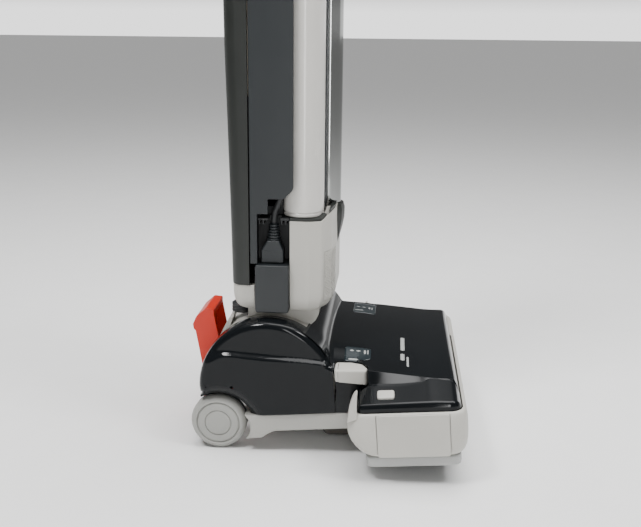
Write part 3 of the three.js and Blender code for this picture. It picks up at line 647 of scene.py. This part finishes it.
def head_section(x, inset=None):
    """The head cover's line across the machine at x; inset is given for the wide part only."""
    near, far = [half_line(x, narrow_half(x, side) if inset is None else wide_half(x, inset), side)
                 for side in (-1, 1)]
    return [(x, -y, z) for y, z in near] + [(x, y, z) for y, z in far[-2::-1]]


def head_skin():
    """The head cover's outer skin from its rear edge to its closed front edge."""
    loops = [head_section(x) for x in (-23, -19, -15, -11, -7, -3, 0, 2, 4, 6, 8, 10, 12, 13.9)]
    loops += [head_section(x) for x in (14.2, 16, 18, 20, 23, 26, 30, 34, 38, 42, 45.2)]
    for k in range(6):
        a = math.pi / 2 * k / 5
        loops.append(head_section(WIDE + 4 * (1 - math.cos(a)), 4 * (1 - math.sin(a))))
    x = WIDE + 4
    while x < 150:
        x += 2.5
        loops.append(head_section(x, 0))
    for x in (153, 154.5, 155.6, 156.6, 157.4, 158.2, 158.9, 159.5, 160.2, 161, 162, 163, 164):
        loops.append(head_section(x, 0))
    verts, faces = skin(loops, closed=False, caps=False)
    return verts, faces + [tuple(range(len(verts) - len(loops[0]), len(verts)))]


def key_plan(grow):
    """Outline of the height pedal, grown by a clearance."""
    return [(16.8 - grow, -97.9 + grow, 4), (16.8 - grow, -126 - grow, 5), (54 + grow, -126 - grow, 4),
            (56.4 + grow, -118, 5), (50 + grow, -104 + grow, 8), (36, -97.9 + grow, 9)]


def make_head_cover():
    shell = piece("head_shell", head_skin(), HEAD, "base", "gloss", ["head_cover"], weld=True)
    thicken(shell, COVER_WALL, False)
    verts, faces = slab(rounded(key_plan(0.6), 8), 84.0, 130)
    pedal_pocket = ([(x, y, z if z > 100 else z - (x - 36) * 0.14) for x, y, z in verts], faces)
    pedal_slot = box_shape(44.6, 57.1, -137.4, -113.6, 80, 130)
    button_hole = rounded([(67.0, -162.5, 3), (88, -162.5, 3), (88, -147.5, 3), (67.0, -147.5, 3)])
    drum = turned([(0, -135), (DRUM_HOLE_R, -135), (DRUM_HOLE_R, 135), (0, 135)], PIVOT)
    rear_edge = [(-60, -140), (-23, -140), (-7.5, 0), (-23, 140), (-60, 140)]
    for hollow in (pedal_pocket, pedal_slot, slab(button_hole, 76, 110), drum, slab(rear_edge, 90, 200)):
        cut(shell, hollow, HEAD, solver="MANIFOLD")
    finish_with(shell, "gloss")
    edges(shell, 0.3, 2, 42)


# Bumper ----------------------------------------

BUMPER_LEVELS = [  # z, rear, front, half width, corner radius
    (15.6, 60, 154, 166, 13), (16.2, 54, 159, 170.5, 15), (18.4, 49, 163.5, 173.8, 16),
    (22, 44.2, 166.2, 175.8, 17), (28, 38.6, 168.4, 177.2, 18), (36, 34, 169.5, 178, 18),
    (44, 31.4, 170, 178.4, 18), (52, 30.9, 170, 178.4, 18), (60, 31.8, 169.8, 178, 18),
    (66, 33.8, 169.2, 177.2, 17), (69.4, 35.8, 168, 176, 16), (70.8, 37.6, 166.4, 174.6, 15),
    (71.0, 39.5, 164.8, 172.8, 14),
]


def bumper_line(z, rear, front, half, r):
    """The bumper's line at one height, open at the back between its two inner ends."""
    corners = [(rear, -126), (rear, -half), (front, -half), (front, half), (rear, half), (rear, 126)]
    steps = 12
    line = [corners[0]]
    for before, corner, after in zip(corners, corners[1:], corners[2:]):
        here = Vector(corner)
        u = (Vector(before) - here).normalized()
        v = (Vector(after) - here).normalized()
        middle = here + (u + v) * r
        for k in range(steps + 1):
            a = math.pi / 2 * k / steps
            line.append(tuple(middle - v * r * math.cos(a) - u * r * math.sin(a)))
    line.append(corners[-1])
    dense = []
    for a, b in zip(line, line[1:]):
        n = max(1, int(math.hypot(b[0] - a[0], b[1] - a[1]) / 12))
        dense += [(lerp(a[0], b[0], k / n), lerp(a[1], b[1], k / n), z) for k in range(n)]
    dense.append((line[-1][0], line[-1][1], z))
    return dense


def resampled(line, count):
    """An open line cut again into count evenly spaced points."""
    lengths = [0.0]
    for a, b in zip(line, line[1:]):
        lengths.append(lengths[-1] + math.dist(a, b))
    out = []
    k = 0
    for i in range(count):
        s = lengths[-1] * i / (count - 1)
        while k < len(line) - 2 and lengths[k + 1] < s:
            k += 1
        t = (s - lengths[k]) / max(1e-9, lengths[k + 1] - lengths[k])
        out.append(tuple(lerp(a, b, clamp(t)) for a, b in zip(line[k], line[k + 1])))
    return out


def make_bumper():
    loops = [resampled(bumper_line(*level), 140) for level in BUMPER_LEVELS]
    shell = piece("bumper_shell", skin(loops, closed=False, caps=False), HEAD, "base", "pale", ["bumper"])
    thicken(shell, BUMPER_WALL)
    panel_gap = rounded([(64.9, 17.7, 3.6), (149.3, 17.7, 3.6), (149.3, 71.8), (64.9, 71.8)])
    seat = prism(panel_gap, -190, -175.6)
    for _, hollow in both(seat):
        cut(shell, hollow, HEAD)
    finish_with(shell, "pale")
    edges(shell, 0.6, 2, 40)
    fin = prism([(32.4, 62), (35.0, 76), (36.0, 80), (37.3, 84.2), (38.6, 88), (40.2, 91.6), (42.6, 95.4),
                 (45.2, 97.6), (46.0, 96.4), (45.4, 90), (44.2, 77), (44.2, 66)], -176.2, -164)
    for side, shape in both(fin):
        edges(piece(f"bumper_fin_{side}", shape, HEAD, "base", "pale", ["bumper"]), 1.6, 4, 30)


def make_end_caps():
    face = rounded([(65.8, 18.5, 3.0), (148.4, 18.5, 3.0), (148.4, 69.8, 1.6), (65.8, 69.8, 1.6)])
    for side, shape in both(prism(face, -178.7, -175.9)):
        body = "end_cap" if side == "right" else "base"
        panel = piece(f"end_panel_{side}", shape, HEAD, body, "pale", [f"end_cap_{side}"])
        edges(panel, 0.6, 4, 30)


# Wheels ----------------------------------------


def make_wheels():
    """Each wheel: a pale tyre with two turned grooves in its face, and behind it a black core that paints
    the shade inside the arch.
    """
    face = [
        (0, -94.6), (33.6, -94.6), (34.6, -95.2), (WHEEL_R, -96.4), (WHEEL_R, -99.4), (34.5, -101.4),
        (33.6, -103.4), (32.2, -105.2), (30.4, -106.7), (28.6, -107.3), (27.6, -107.1), (27.1, -106.2),
        (26.8, -104.9), (26.3, -104.7), (25.9, -105.2), (25.3, -106.4), (24, -106.9), (17.4, -107.2),
        (16.8, -106.7), (16.4, -105.8), (15.9, -105.7), (15.5, -106.6), (14.8, -107.3), (8, -107.8),
        (0, -107.9),
    ]
    inner = [(0, -85.6), (31, -85.6), (33.4, -86.2), (34.2, -87.6), (34.3, -94.4), (0, -94.4)]
    for outline, name, look in ((face, "tyre", "wheel"), (inner, "wheel_shade_core", "black")):
        shape = turned(outline, (AXLE[0], AXLE[2]), sides=128)
        for side, made in both(shape):
            obj = piece(f"{name}_{side}", made, HEAD, f"wheel_{side[0]}", look, [f"wheel_{side}"])
            edges(obj)


def make_wells():
    """Black sheets in the wheel arches that paint the shade inside them, hiding the pale chassis behind the
    wheels.
    """
    x, z, r = ARCH
    inner = arc(x, z, 36.0, 20, 118, 28)
    outer = arc(x, z, r + 1.2, 112, 18, 28)
    shape = prism(inner + outer, -84.9, -82.6)
    for side, made in both(shape):
        edges(piece(f"arch_shade_sheet_{side}", made, HEAD, "base", "black"), 0.3, 2, 40)


# Pedals and button -----------------------------


def crowned(plan, z0, z1, rise, inset):
    """A moulded key: straight sides, a rounded upper edge and a slightly domed top."""
    steps = 6
    cx = sum(p[0] for p in plan) / len(plan)
    cy = sum(p[1] for p in plan) / len(plan)
    loops = [[(x, y, z0) for x, y in plan]]
    for k in range(steps + 1):
        a = math.pi / 2 * k / steps
        shrink = inset * (1 - math.cos(a))
        z = z1 - inset * (1 - math.sin(a))
        ring = []
        for x, y in plan:
            away = math.hypot(x - cx, y - cy)
            ring.append((x - (x - cx) / away * shrink, y - (y - cy) / away * shrink, z))
        loops.append(ring)
    top = loops[-1]
    for t in (0.8, 0.55, 0.3, 0.1):
        loops.append([(cx + (x - cx) * t, cy + (y - cy) * t, z + rise * (1 - t * t)) for x, y, z in top])
    return skin(loops)


def make_height_key():
    verts, faces = crowned(rounded(key_plan(0), 8), 89.5, 105.4, 0.5, 2.4)
    tilted = [(x, y, z - (x - 36) * (0.14 if z < 90 else 0.04)) for x, y, z in verts]
    key = piece("height_key", (tilted, faces), HEAD, "height_pedal", "pale", ["height_pedal"])
    undercut = box_shape(10, 60, -114.6, -90, 80, 96.5)
    top_groove = box_shape(20.6, 21.8, -122, -101, 103.9, 112)
    side_groove = box_shape(20.6, 21.8, -130, -125.1, 80, 104)
    for hollow in (undercut, top_groove, side_groove):
        cut(key, hollow, HEAD)
    finish_with(key, "pale")
    edges(key, 0.3, 2, 50)


def make_release_key():
    plan = rounded([(67.6, -161.8, 2.6), (87.4, -161.8, 2.6), (87.4, -148.2, 2.6), (67.6, -148.2, 2.6)], 6)
    verts, faces = crowned(plan, 78, 87.4, 0.3, 1.2)
    tilted = [(x, y, z if z < 79 else z - (-155 - y) * 0.27) for x, y, z in verts]
    button = piece("release_key", (tilted, faces), HEAD, "brush_button", "pale",
                   ["brush_release_button"])
    edges(button)


def make_release_pedal():
    side = [
        (-163.6, 46.2, 3), (-155.5, 46, 3), (-146.5, 116, 8), (-152.6, 150, 3), (-152.6, 157.2, 1.6),
        (-163.5, 158.3, 5), (-176, 147, 6), (-181, 136, 2), (-179.6, 129.5, 1.5), (-177.4, 127.6),
    ]
    outer = piece("foot_pedal_shell", prism(rounded(side, 6), -30, 30), BODY, "foot_pedal", "red",
                  ["release_pedal"])
    cut(outer, prism([(-160.5, 58), (-140, 58), (-140, 149), (-160.5, 149)], -26.5, 26.5), BODY)
    foot = HEAD_TO_BODY @ Vector((-163, 0, 38))
    lug = prism([(-157.4, 52)] + arc(foot.x, foot.z, 6.6, 0, -180, 16) + [(-166, 52)], 20, 28)
    cut(outer, lug, BODY, "UNION")
    cut(outer, flipped(lug), BODY, "UNION")
    cut(outer, turned([(0, -40), (3.8, -40), (3.8, 40), (0, 40)], (foot.x, foot.z), sides=32), BODY)
    finish_with(outer, "red")
    edges(outer, 1.3, 3, 35)


# Neck ------------------------------------------


def make_neck():
    x, z = HUB.x, HUB.z
    half, inner = DRUM_HALF, DRUM_HALF - DRUM_WALL
    sector = [(x, z)] + arc(x, z, DRUM_R, -30, 135, 72)
    shell = piece("drum_shell", prism(sector, -half, half), BODY, "upright", "pale", ["neck_drum"])
    funnel = [
        (-101, 176.3), (-12.5, 176.3), (-13.4, 168), (-17, 160.5), (-24, 153.6), (-34, 147),
        (-47, 141), (-101, 141),
    ]
    cut(shell, prism(funnel, -68, 68), BODY, "UNION")
    cut(shell, prism([(x, z)] + arc(x, z, DRUM_INNER_R, -40, 145, 48), -inner, inner), BODY)
    for sign in (-1, 1):
        disc = [(0, inner), (47, inner), (47, half), (16, half), (16, 94), (0, 94)]
        cut(shell, turned([(r, y * sign) for r, y in disc], (x, z), sides=64), BODY, "UNION")
    finish_with(shell, "pale")
    edges(shell, 1.0, 3, 35)


# Housing ---------------------------------------

# Half outline of the housing seen from above: x, distance from the middle.
PLAN = [(-46.8, 88.0), (-24, 89.0), (-9, 83.5), (1, 62), (4.6, 35)]


def plan_line(inset):
    """The housing's outline seen from above, right side first, with softened corners."""
    half = [(x - (inset if i > 1 else 0), -(y - (inset if i < 4 else 0))) for i, (x, y) in enumerate(PLAN)]
    whole = half + [(x, -y) for x, y in reversed(half)]
    corners = [p if i in (0, len(whole) - 1) else (*p, 2.0) for i, p in enumerate(whole)]
    return rounded(corners, 5)


def housing_top(x):
    """Height of the housing's upper edge, which rises towards the front."""
    return 289 + 8.5 * smooth((x + 10) / 13)


def make_housing():
    levels = [(9.5, 176.7), (7.2, 177.2), (5.2, 178.6), (3.6, 180.8), (2.2, 184), (1.0, 188),
              (0.3, 192), (0, 197)]
    loops = [[(x, y, z) for x, y in plan_line(inset)] for inset, z in levels]
    loops.append([(x, y, 240) for x, y in plan_line(0)])
    loops.append([(x, y, housing_top(x)) for x, y in plan_line(0)])
    shell = piece("housing_shell", skin(loops), BODY, "upright", "pale", ["motor_housing"])
    cut(shell, slab([(max(x, -60) if x > -40 else -60, y) for x, y in plan_line(3.2)], 196, 286), BODY)
    cut(shell, box_shape(-6.3, 20, -79.3, 79.3, 189.7, 250.3), BODY)
    cut(shell, holder_shape(0.5), BODY)
    finish_with(shell, "pale")
    edges(shell, 0.5, 2, 40)


def make_filter_door():
    door = piece("filter_door_shell", slab(plan_line(0), 190, 250), BODY, "filter_door", "pale",
                 ["filter_panel"])
    cut(door, box_shape(-6, 20, -79, 79, 180, 260), BODY, "INTERSECT")
    cut(door, slab(plan_line(2.6), 180, 260), BODY)
    cut(door, holder_shape(0.5), BODY)
    finish_with(door, "pale")
    edges(door, 0.5, 2, 40)
    ribs = joined(*[rib for side in (-1, 1) for rib in diagonal_ribs(side)])
    made = piece("filter_door_ribs", ribs, BODY, "filter_door", "pale")
    edges(made)


def make_gasket():
    seal = [[(x, y, housing_top(x) + 0.3) for x, y in plan_line(1.2)]]
    seal.append([(x, y, housing_top(x) + 3.4) for x, y in plan_line(1.2)])
    gasket = piece("housing_seal", skin(seal), BODY, "upright", "charcoal", ["housing_gasket"])
    cut(gasket, box_shape(-60, -2, -70, 70, 280, 310), BODY)
    cut(gasket, holder_shape(0.5), BODY)
    finish_with(gasket, "charcoal")
    edges(gasket, 0.6, 3, 40)


def diagonal_ribs(side):
    """Fine slanting ribs moulded on the front facets of the filter door."""
    ribs = []
    for (xa, ya), (xb, yb) in ((PLAN[2], PLAN[3]), (PLAN[3], PLAN[4])):
        start = max(xa, -5.4)
        ya = lerp(ya, yb, (start - xa) / (xb - xa))
        along = Vector((xb - start, yb - ya))
        width = along.length - 1.6
        along.normalize()
        face = Vector((-along.y, along.x)) if along.y < 0 else Vector((along.y, -along.x))
        z = 186.0
        while z < 262:
            low, high = z, z - width * 0.55
            a, b = 0.8, 0.8 + width
            if low > 248:
                a = 0.8 + (low - 248) / 0.55
                low = 248
            if high < 192:
                b = 0.8 + (z - 192) / 0.55
                high = 192
            if b - a > 2:
                ribs.append(rib_between((start, ya), along, face, a, low, b, high, side))
            z += 3.4
    return ribs


def rib_between(origin, along, face, a, za, b, zb, side):
    """One rib from (a, za) to (b, zb), each a distance along the facet and a height."""
    foot, crest, rise = 0.88, 0.55, 0.55
    loops = []
    for s, z in ((a, za), (b, zb)):
        ring = []
        for up, out in ((-foot, -0.2), (-crest, rise), (crest, rise), (foot, -0.2)):
            x = origin[0] + along.x * s + face.x * out
            y = origin[1] + along.y * s + face.y * out
            ring.append((x, side * y, z + up))
        loops.append(ring)
    return skin(loops)


def holder_shape(extra):
    """The pointed wand holder, grown by a clearance where it is cut out of its neighbours."""
    levels = [(239, 1.0, 1.5), (242, 3.4, 3.4), (250, 7.4, 5.8), (264, 14, 9.7), (277, 19, 12.4),
              (284, 20, 12.8), (291, 20, 12.7), (297, 20, 11)]
    loops = []
    for i, (z, half, front) in enumerate(levels):
        w = half + extra
        plan = [(-7 - extra, -w), (front * 0.3, -w), (front * 0.8 + extra, -w * 0.72),
                (front + extra, -w * 0.3), (front + extra, w * 0.3),
                (front * 0.8 + extra, w * 0.72), (front * 0.3, w), (-7 - extra, w)]
        loops.append([(x, y, z - (extra if i == 0 else 0)) for x, y in plan])
    return skin(loops)


def make_wand_cup():
    edges(piece("wand_cup", holder_shape(0), BODY, "upright", "charcoal", ["wand_holder"]), 1.4, 4, 20)


# Body ------------------------------------------


def body_loop(rear, front, half, z, r):
    """The rear casing's outline at one height, with its two rear corners rounded."""
    plan = rounded([(front, -half), (front, half), (rear, half, r), (rear, -half, r)], 10)
    return [(x, y, z) for x, y in plan]


def make_rear_cover():
    levels = [(-117.8, 209.4), (-118.6, 260), (-119.6, 320), (-121.2, 400), (-123.2, 485), (-124.2, 600),
              (-124.5, 700), (-124.5, 760), (-123.6, 784), (-121.6, 795), (-119.6, 799.4)]
    loops = [body_loop(rear, -95.2, 90 - (1.2 if z > 798 else 0), z, 15) for rear, z in levels]
    door = piece("bag_door_shell", skin(loops), BODY, "bag_door", "charcoal", ["rear_cover"])
    inner = [body_loop(rear + 2.8, -85, 87.2, max(212, min(z, 797)), 12.4) for rear, z in levels]
    cut(door, skin(inner), BODY)
    cut(door, box_shape(-130, -112, -18.3, 18.3, 222, 240), BODY)
    finish_with(door, "charcoal")
    edges(door, 0.7, 2, 40)


def make_rear_cap():
    levels = [(-104, 76, 176.6, 8), (-107.6, 80, 177.8, 10), (-111, 83, 179.8, 11),
              (-113.6, 85.2, 182.8, 12.4), (-115.6, 86.8, 187, 13.6), (-116.9, 87.8, 192.6, 14.6),
              (-117.5, 88.2, 199, 15), (-117.6, 88.3, 208.9, 15)]
    loops = [body_loop(rear, -89.6, half, z, r) for rear, half, z, r in levels]
    cap = piece("rear_cap_shell", skin(loops), BODY, "upright", "pale", ["rear_cap"])
    cut(cap, box_shape(-112, -80, -80, 80, 186, 215), BODY)
    finish_with(cap, "pale")
    edges(cap, 0.6, 2, 40)


def make_pillars():
    """The two pale front tubes, each with a ring at its foot."""
    x, y, r = PILLAR
    insets = [(2.4, 292.8), (1.2, 292.8), (0.4, 293.2), (0, 294.0), (0, 296.2), (0.4, 296.9), (1.0, 297.2),
              (1.0, 298.0), (0.4, 298.4), (0, 299.2), (0, 340), (0, BODY_TOP), (2.4, BODY_TOP)]
    profile = [(r - inset, z) for inset, z in insets]
    for side, sign in (("right", -1), ("left", 1)):
        shape = turned(profile, (x, sign * y), "Z", 96)
        made = piece(f"column_{side}", shape, BODY, "upright", "pillar", [f"pillar_{side}"])
        edges(made)


def make_wand():
    x, r = WAND
    profile = [(r - 1.4, 298), (r - 0.4, 298), (r, 298.6), (r, WAND_TOP - 0.8), (r - 0.4, WAND_TOP),
               (r - 1.4, WAND_TOP)]
    edges(piece("wand_tube", turned(profile, (x, 0), "Z", 96), BODY, "wand", "chrome", ["wand"]))


def make_plug():
    side = rounded([(-81.5, 236.7), (-54.6, 236.7), (-54.6, 252.6, 3.4), (-59.6, 264.2, 2),
                    (-74.2, 264.2, 2), (-81.5, 252.6, 3.4)], 6)
    body = piece("plug_shell", prism(side, -87, -69), BODY, "upright", "slate", ["plug_body"])
    edges(body, 2.2, 5, 30)
    ridge = prism([(-80.6, 251.4), (-55.4, 251.4), (-55.4, 252.6), (-80.6, 252.6)], -87.35, -80)
    edges(piece("plug_ridge", ridge, BODY, "upright", "slate"), 0.3, 2, 30)


def make_plug_sleeve():
    """Ribbed strain relief: six tapering rings, each with a groove above it."""
    rings = [(0, 264.3), (8.2, 264.3)]
    for k in range(6):
        z, r = 264.3 + k * 3.4, 8.2 - 0.42 * k
        rings += [(r, z + 0.5), (r, z + 1.5), (r - 0.4, z + 1.9)]
        rings += [(r - 1.9, z + 2.1), (r - 1.9, z + 2.9), (r - 0.8, z + 3.3)]
    rings += [(0, 285.0)]
    sleeve = piece("plug_sleeve", turned(rings, (-66.8, -78), "Z", 48), BODY, "upright", "slate",
                   ["plug_relief"])
    edges(sleeve)


def make_lead():
    lead = tube([(-66.8, -78, 284.2), (-66.6, -78, 288), (-66.2, -78, 292), (-65.2, -78, 299),
                 (-62.4, -78.4, 306), (-59.6, -79, 313), (-58.6, -79, 320), (-58.6, -79, 331)], 3.7)
    edges(piece("plug_cable", lead, BODY, "upright", "rubber", ["plug_lead"]))


def make_panels():
    """The right side panel with its recess for the lead, and the socket box below it."""
    right = rounded([(-93.8, 236.7), (-85.2, 236.7), (-85.2, 297.5), (-72.3, 297.5), (-72.3, 315.5),
                     (-54, 315.5, 7), (-42.3, 327, 9), (-42.3, BODY_TOP), (-93.8, BODY_TOP)], 8)
    panel = piece("panel_right", prism(right, -92, -87.5), BODY, "upright", "slate", ["side_panel_right"])
    edges(panel, 1.1, 3, 30)
    box = rounded([(-88, 177, 3.4), (-47.4, 177, 3.4), (-47.4, 236.2, 2.4), (-88, 236.2, 2.4)], 6)
    socket = piece("socket_shell", prism(box, -96, -60.2), BODY, "upright", "slate", ["socket_box"])
    edges(socket, 2.0, 5, 30)


# Printed marks ---------------------------------


def printed(plan, lift):
    """A thin film lying on the head cover, cut to a plan outline."""
    xs = [x for x, _ in plan]
    low, high = min(xs), max(xs)
    count = max(2, int((high - low) / 2))
    verts, faces = [], []
    for k in range(count + 1):
        x = lerp(low + 0.01, high - 0.01, k / count)
        ys = []
        for (ax, ay), (bx, by) in zip(plan, plan[1:] + plan[:1]):
            if (ax - x) * (bx - x) < 0:
                ys.append(lerp(ay, by, (x - ax) / (bx - ax)))
        for j in range(13):
            y = lerp(min(ys), max(ys), j / 12)
            verts.append((x, y, surface(x, y) + lift))
    for k in range(count):
        for j in range(12):
            a = k * 13 + j
            faces.append((a, a + 13, a + 14, a + 1))
    return verts, faces


def dash(x, y, wide, long):
    """A bar with rounded corners, centred on x, y."""
    r = min(wide, long) * 0.25
    return printed(rounded([(x - wide / 2, y - long / 2, r), (x + wide / 2, y - long / 2, r),
                            (x + wide / 2, y + long / 2, r), (x - wide / 2, y + long / 2, r)], 4), 0.3)


def make_marks():
    """Plain bars and dots in place of the printing on the head cover and its two labels."""
    bars = [dash(98, -40, 5.0, 44), dash(97.8, -82, 5.0, 20), dash(104, -94, 2.6, 28)]
    thicken(piece("cover_stripes", joined(*bars), HEAD, "base", "print"), 0.2)
    near = [(27.5, -67), (59.5, -67), (59.5, -96.5), (27.5, -96.5)]
    far = [(30, 70), (61, 70), (61, 122), (30, 122)]
    for side, plan in (("right", near), ("left", far)):
        film = printed(rounded([p + (2.0,) for p in plan]), 0.15)
        plate = piece(f"label_film_{side}", film, HEAD, "base", "label", [f"label_{side}"])
        thicken(plate, 0.2)
    marks = []
    for y in (-72, 103):
        marks += [dash(x, y - 3, 5, 3) for x in (36, 44)]
        marks += [dash(52, y - 5, 2.6, 9), dash(55.6, y - 5, 1.4, 11), dash(38, y - 20, 12, 3)]
    thicken(piece("label_marks", joined(*marks), HEAD, "base", "print"), 0.2)


# Stage -----------------------------------------

# All in metres. Grey of the sky by height, and how much of it each side gives, near side to far.
SKY = [(0.02, 1), (0.07, 0.08), (0.7, 0.08), (0.88, 1.0), (1.0, 1.2)]
SIDES = [(-0.2, 0.35), (0.3, 1.0)]
SKY_STRENGTH = 1.9
FLOOR_HALF = 60
LAMPS = [  # name, position, target, width, height, watts
    ("key", (-0.8, -0.85, 2.1), (-0.05, 0, 0.15), 0.45, 0.45, 34),
    ("right", (1.2, -0.55, 1.9), (0, 0, 0.2), 0.45, 0.45, 18),
    ("front_strip", (0.25, -1.9, 0.7), (0, 0, 0.35), 0.14, 1.3, 9),
    ("top", (0.2, 0.1, 2.4), (0, 0, 0.1), 1.6, 1.6, 62),
]


def ramp_node(tree, source, stops):
    """A grey ramp read along one direction of the world."""
    node = tree.nodes.new("ShaderNodeValToRGB")
    tree.links.new(source, node.inputs["Fac"])
    elements = node.color_ramp.elements
    for k, (place, grey) in enumerate(stops):
        stop = elements[k] if k < 2 else elements.new(place)
        stop.position = place
        stop.color = (grey, grey, grey, 1)
    return node.outputs["Color"]


def make_floor():
    corners = [(-1, -1), (1, -1), (1, 1), (-1, 1)]
    plane = [(x * FLOOR_HALF, y * FLOOR_HALF, 0) for x, y in corners], [(0, 1, 2, 3)]
    floor = new_object("floor", plane, Matrix())
    floor.data.materials.append(moulded("floor_paint", (0.86, 0.86, 0.855), 0.75, 0.01))


def make_sky():
    world = bpy.data.worlds.new("studio")
    world.use_nodes = True
    tree = world.node_tree
    where = tree.nodes.new("ShaderNodeTexCoord")
    split = tree.nodes.new("ShaderNodeSeparateXYZ")
    tree.links.new(where.outputs["Generated"], split.inputs["Vector"])
    mix = tree.nodes.new("ShaderNodeMixRGB")
    mix.blend_type = "MULTIPLY"
    mix.inputs["Fac"].default_value = 1
    tree.links.new(ramp_node(tree, split.outputs["Z"], SKY), mix.inputs["Color1"])
    tree.links.new(ramp_node(tree, split.outputs["Y"], SIDES), mix.inputs["Color2"])
    tree.links.new(mix.outputs["Color"], tree.nodes["Background"].inputs["Color"])
    tree.nodes["Background"].inputs["Strength"].default_value = SKY_STRENGTH
    bpy.context.scene.world = world


def make_lamps():
    for name, at, target, wide, high, watts in LAMPS:
        data = bpy.data.lights.new(name, "AREA")
        data.shape = "RECTANGLE"
        data.size = wide
        data.size_y = high
        data.energy = watts
        made = bpy.data.objects.new(name, data)
        made.location = at
        made.visible_camera = False
        made.rotation_euler = (Vector(target) - Vector(at)).to_track_quat("-Z", "Y").to_euler()
        bpy.context.scene.collection.objects.link(made)


# Build -----------------------------------------

camera()
LOOKS = make_looks()
carry()
make_side_covers()
make_head_cover()
make_bumper()
make_end_caps()
make_wheels()
make_wells()
make_height_key()
make_release_key()
make_release_pedal()
make_neck()
make_housing()
make_filter_door()
make_gasket()
make_wand_cup()
make_rear_cover()
make_rear_cap()
make_pillars()
make_wand()
make_plug()
make_plug_sleeve()
make_lead()
make_panels()
make_marks()
make_floor()
make_sky()
make_lamps()
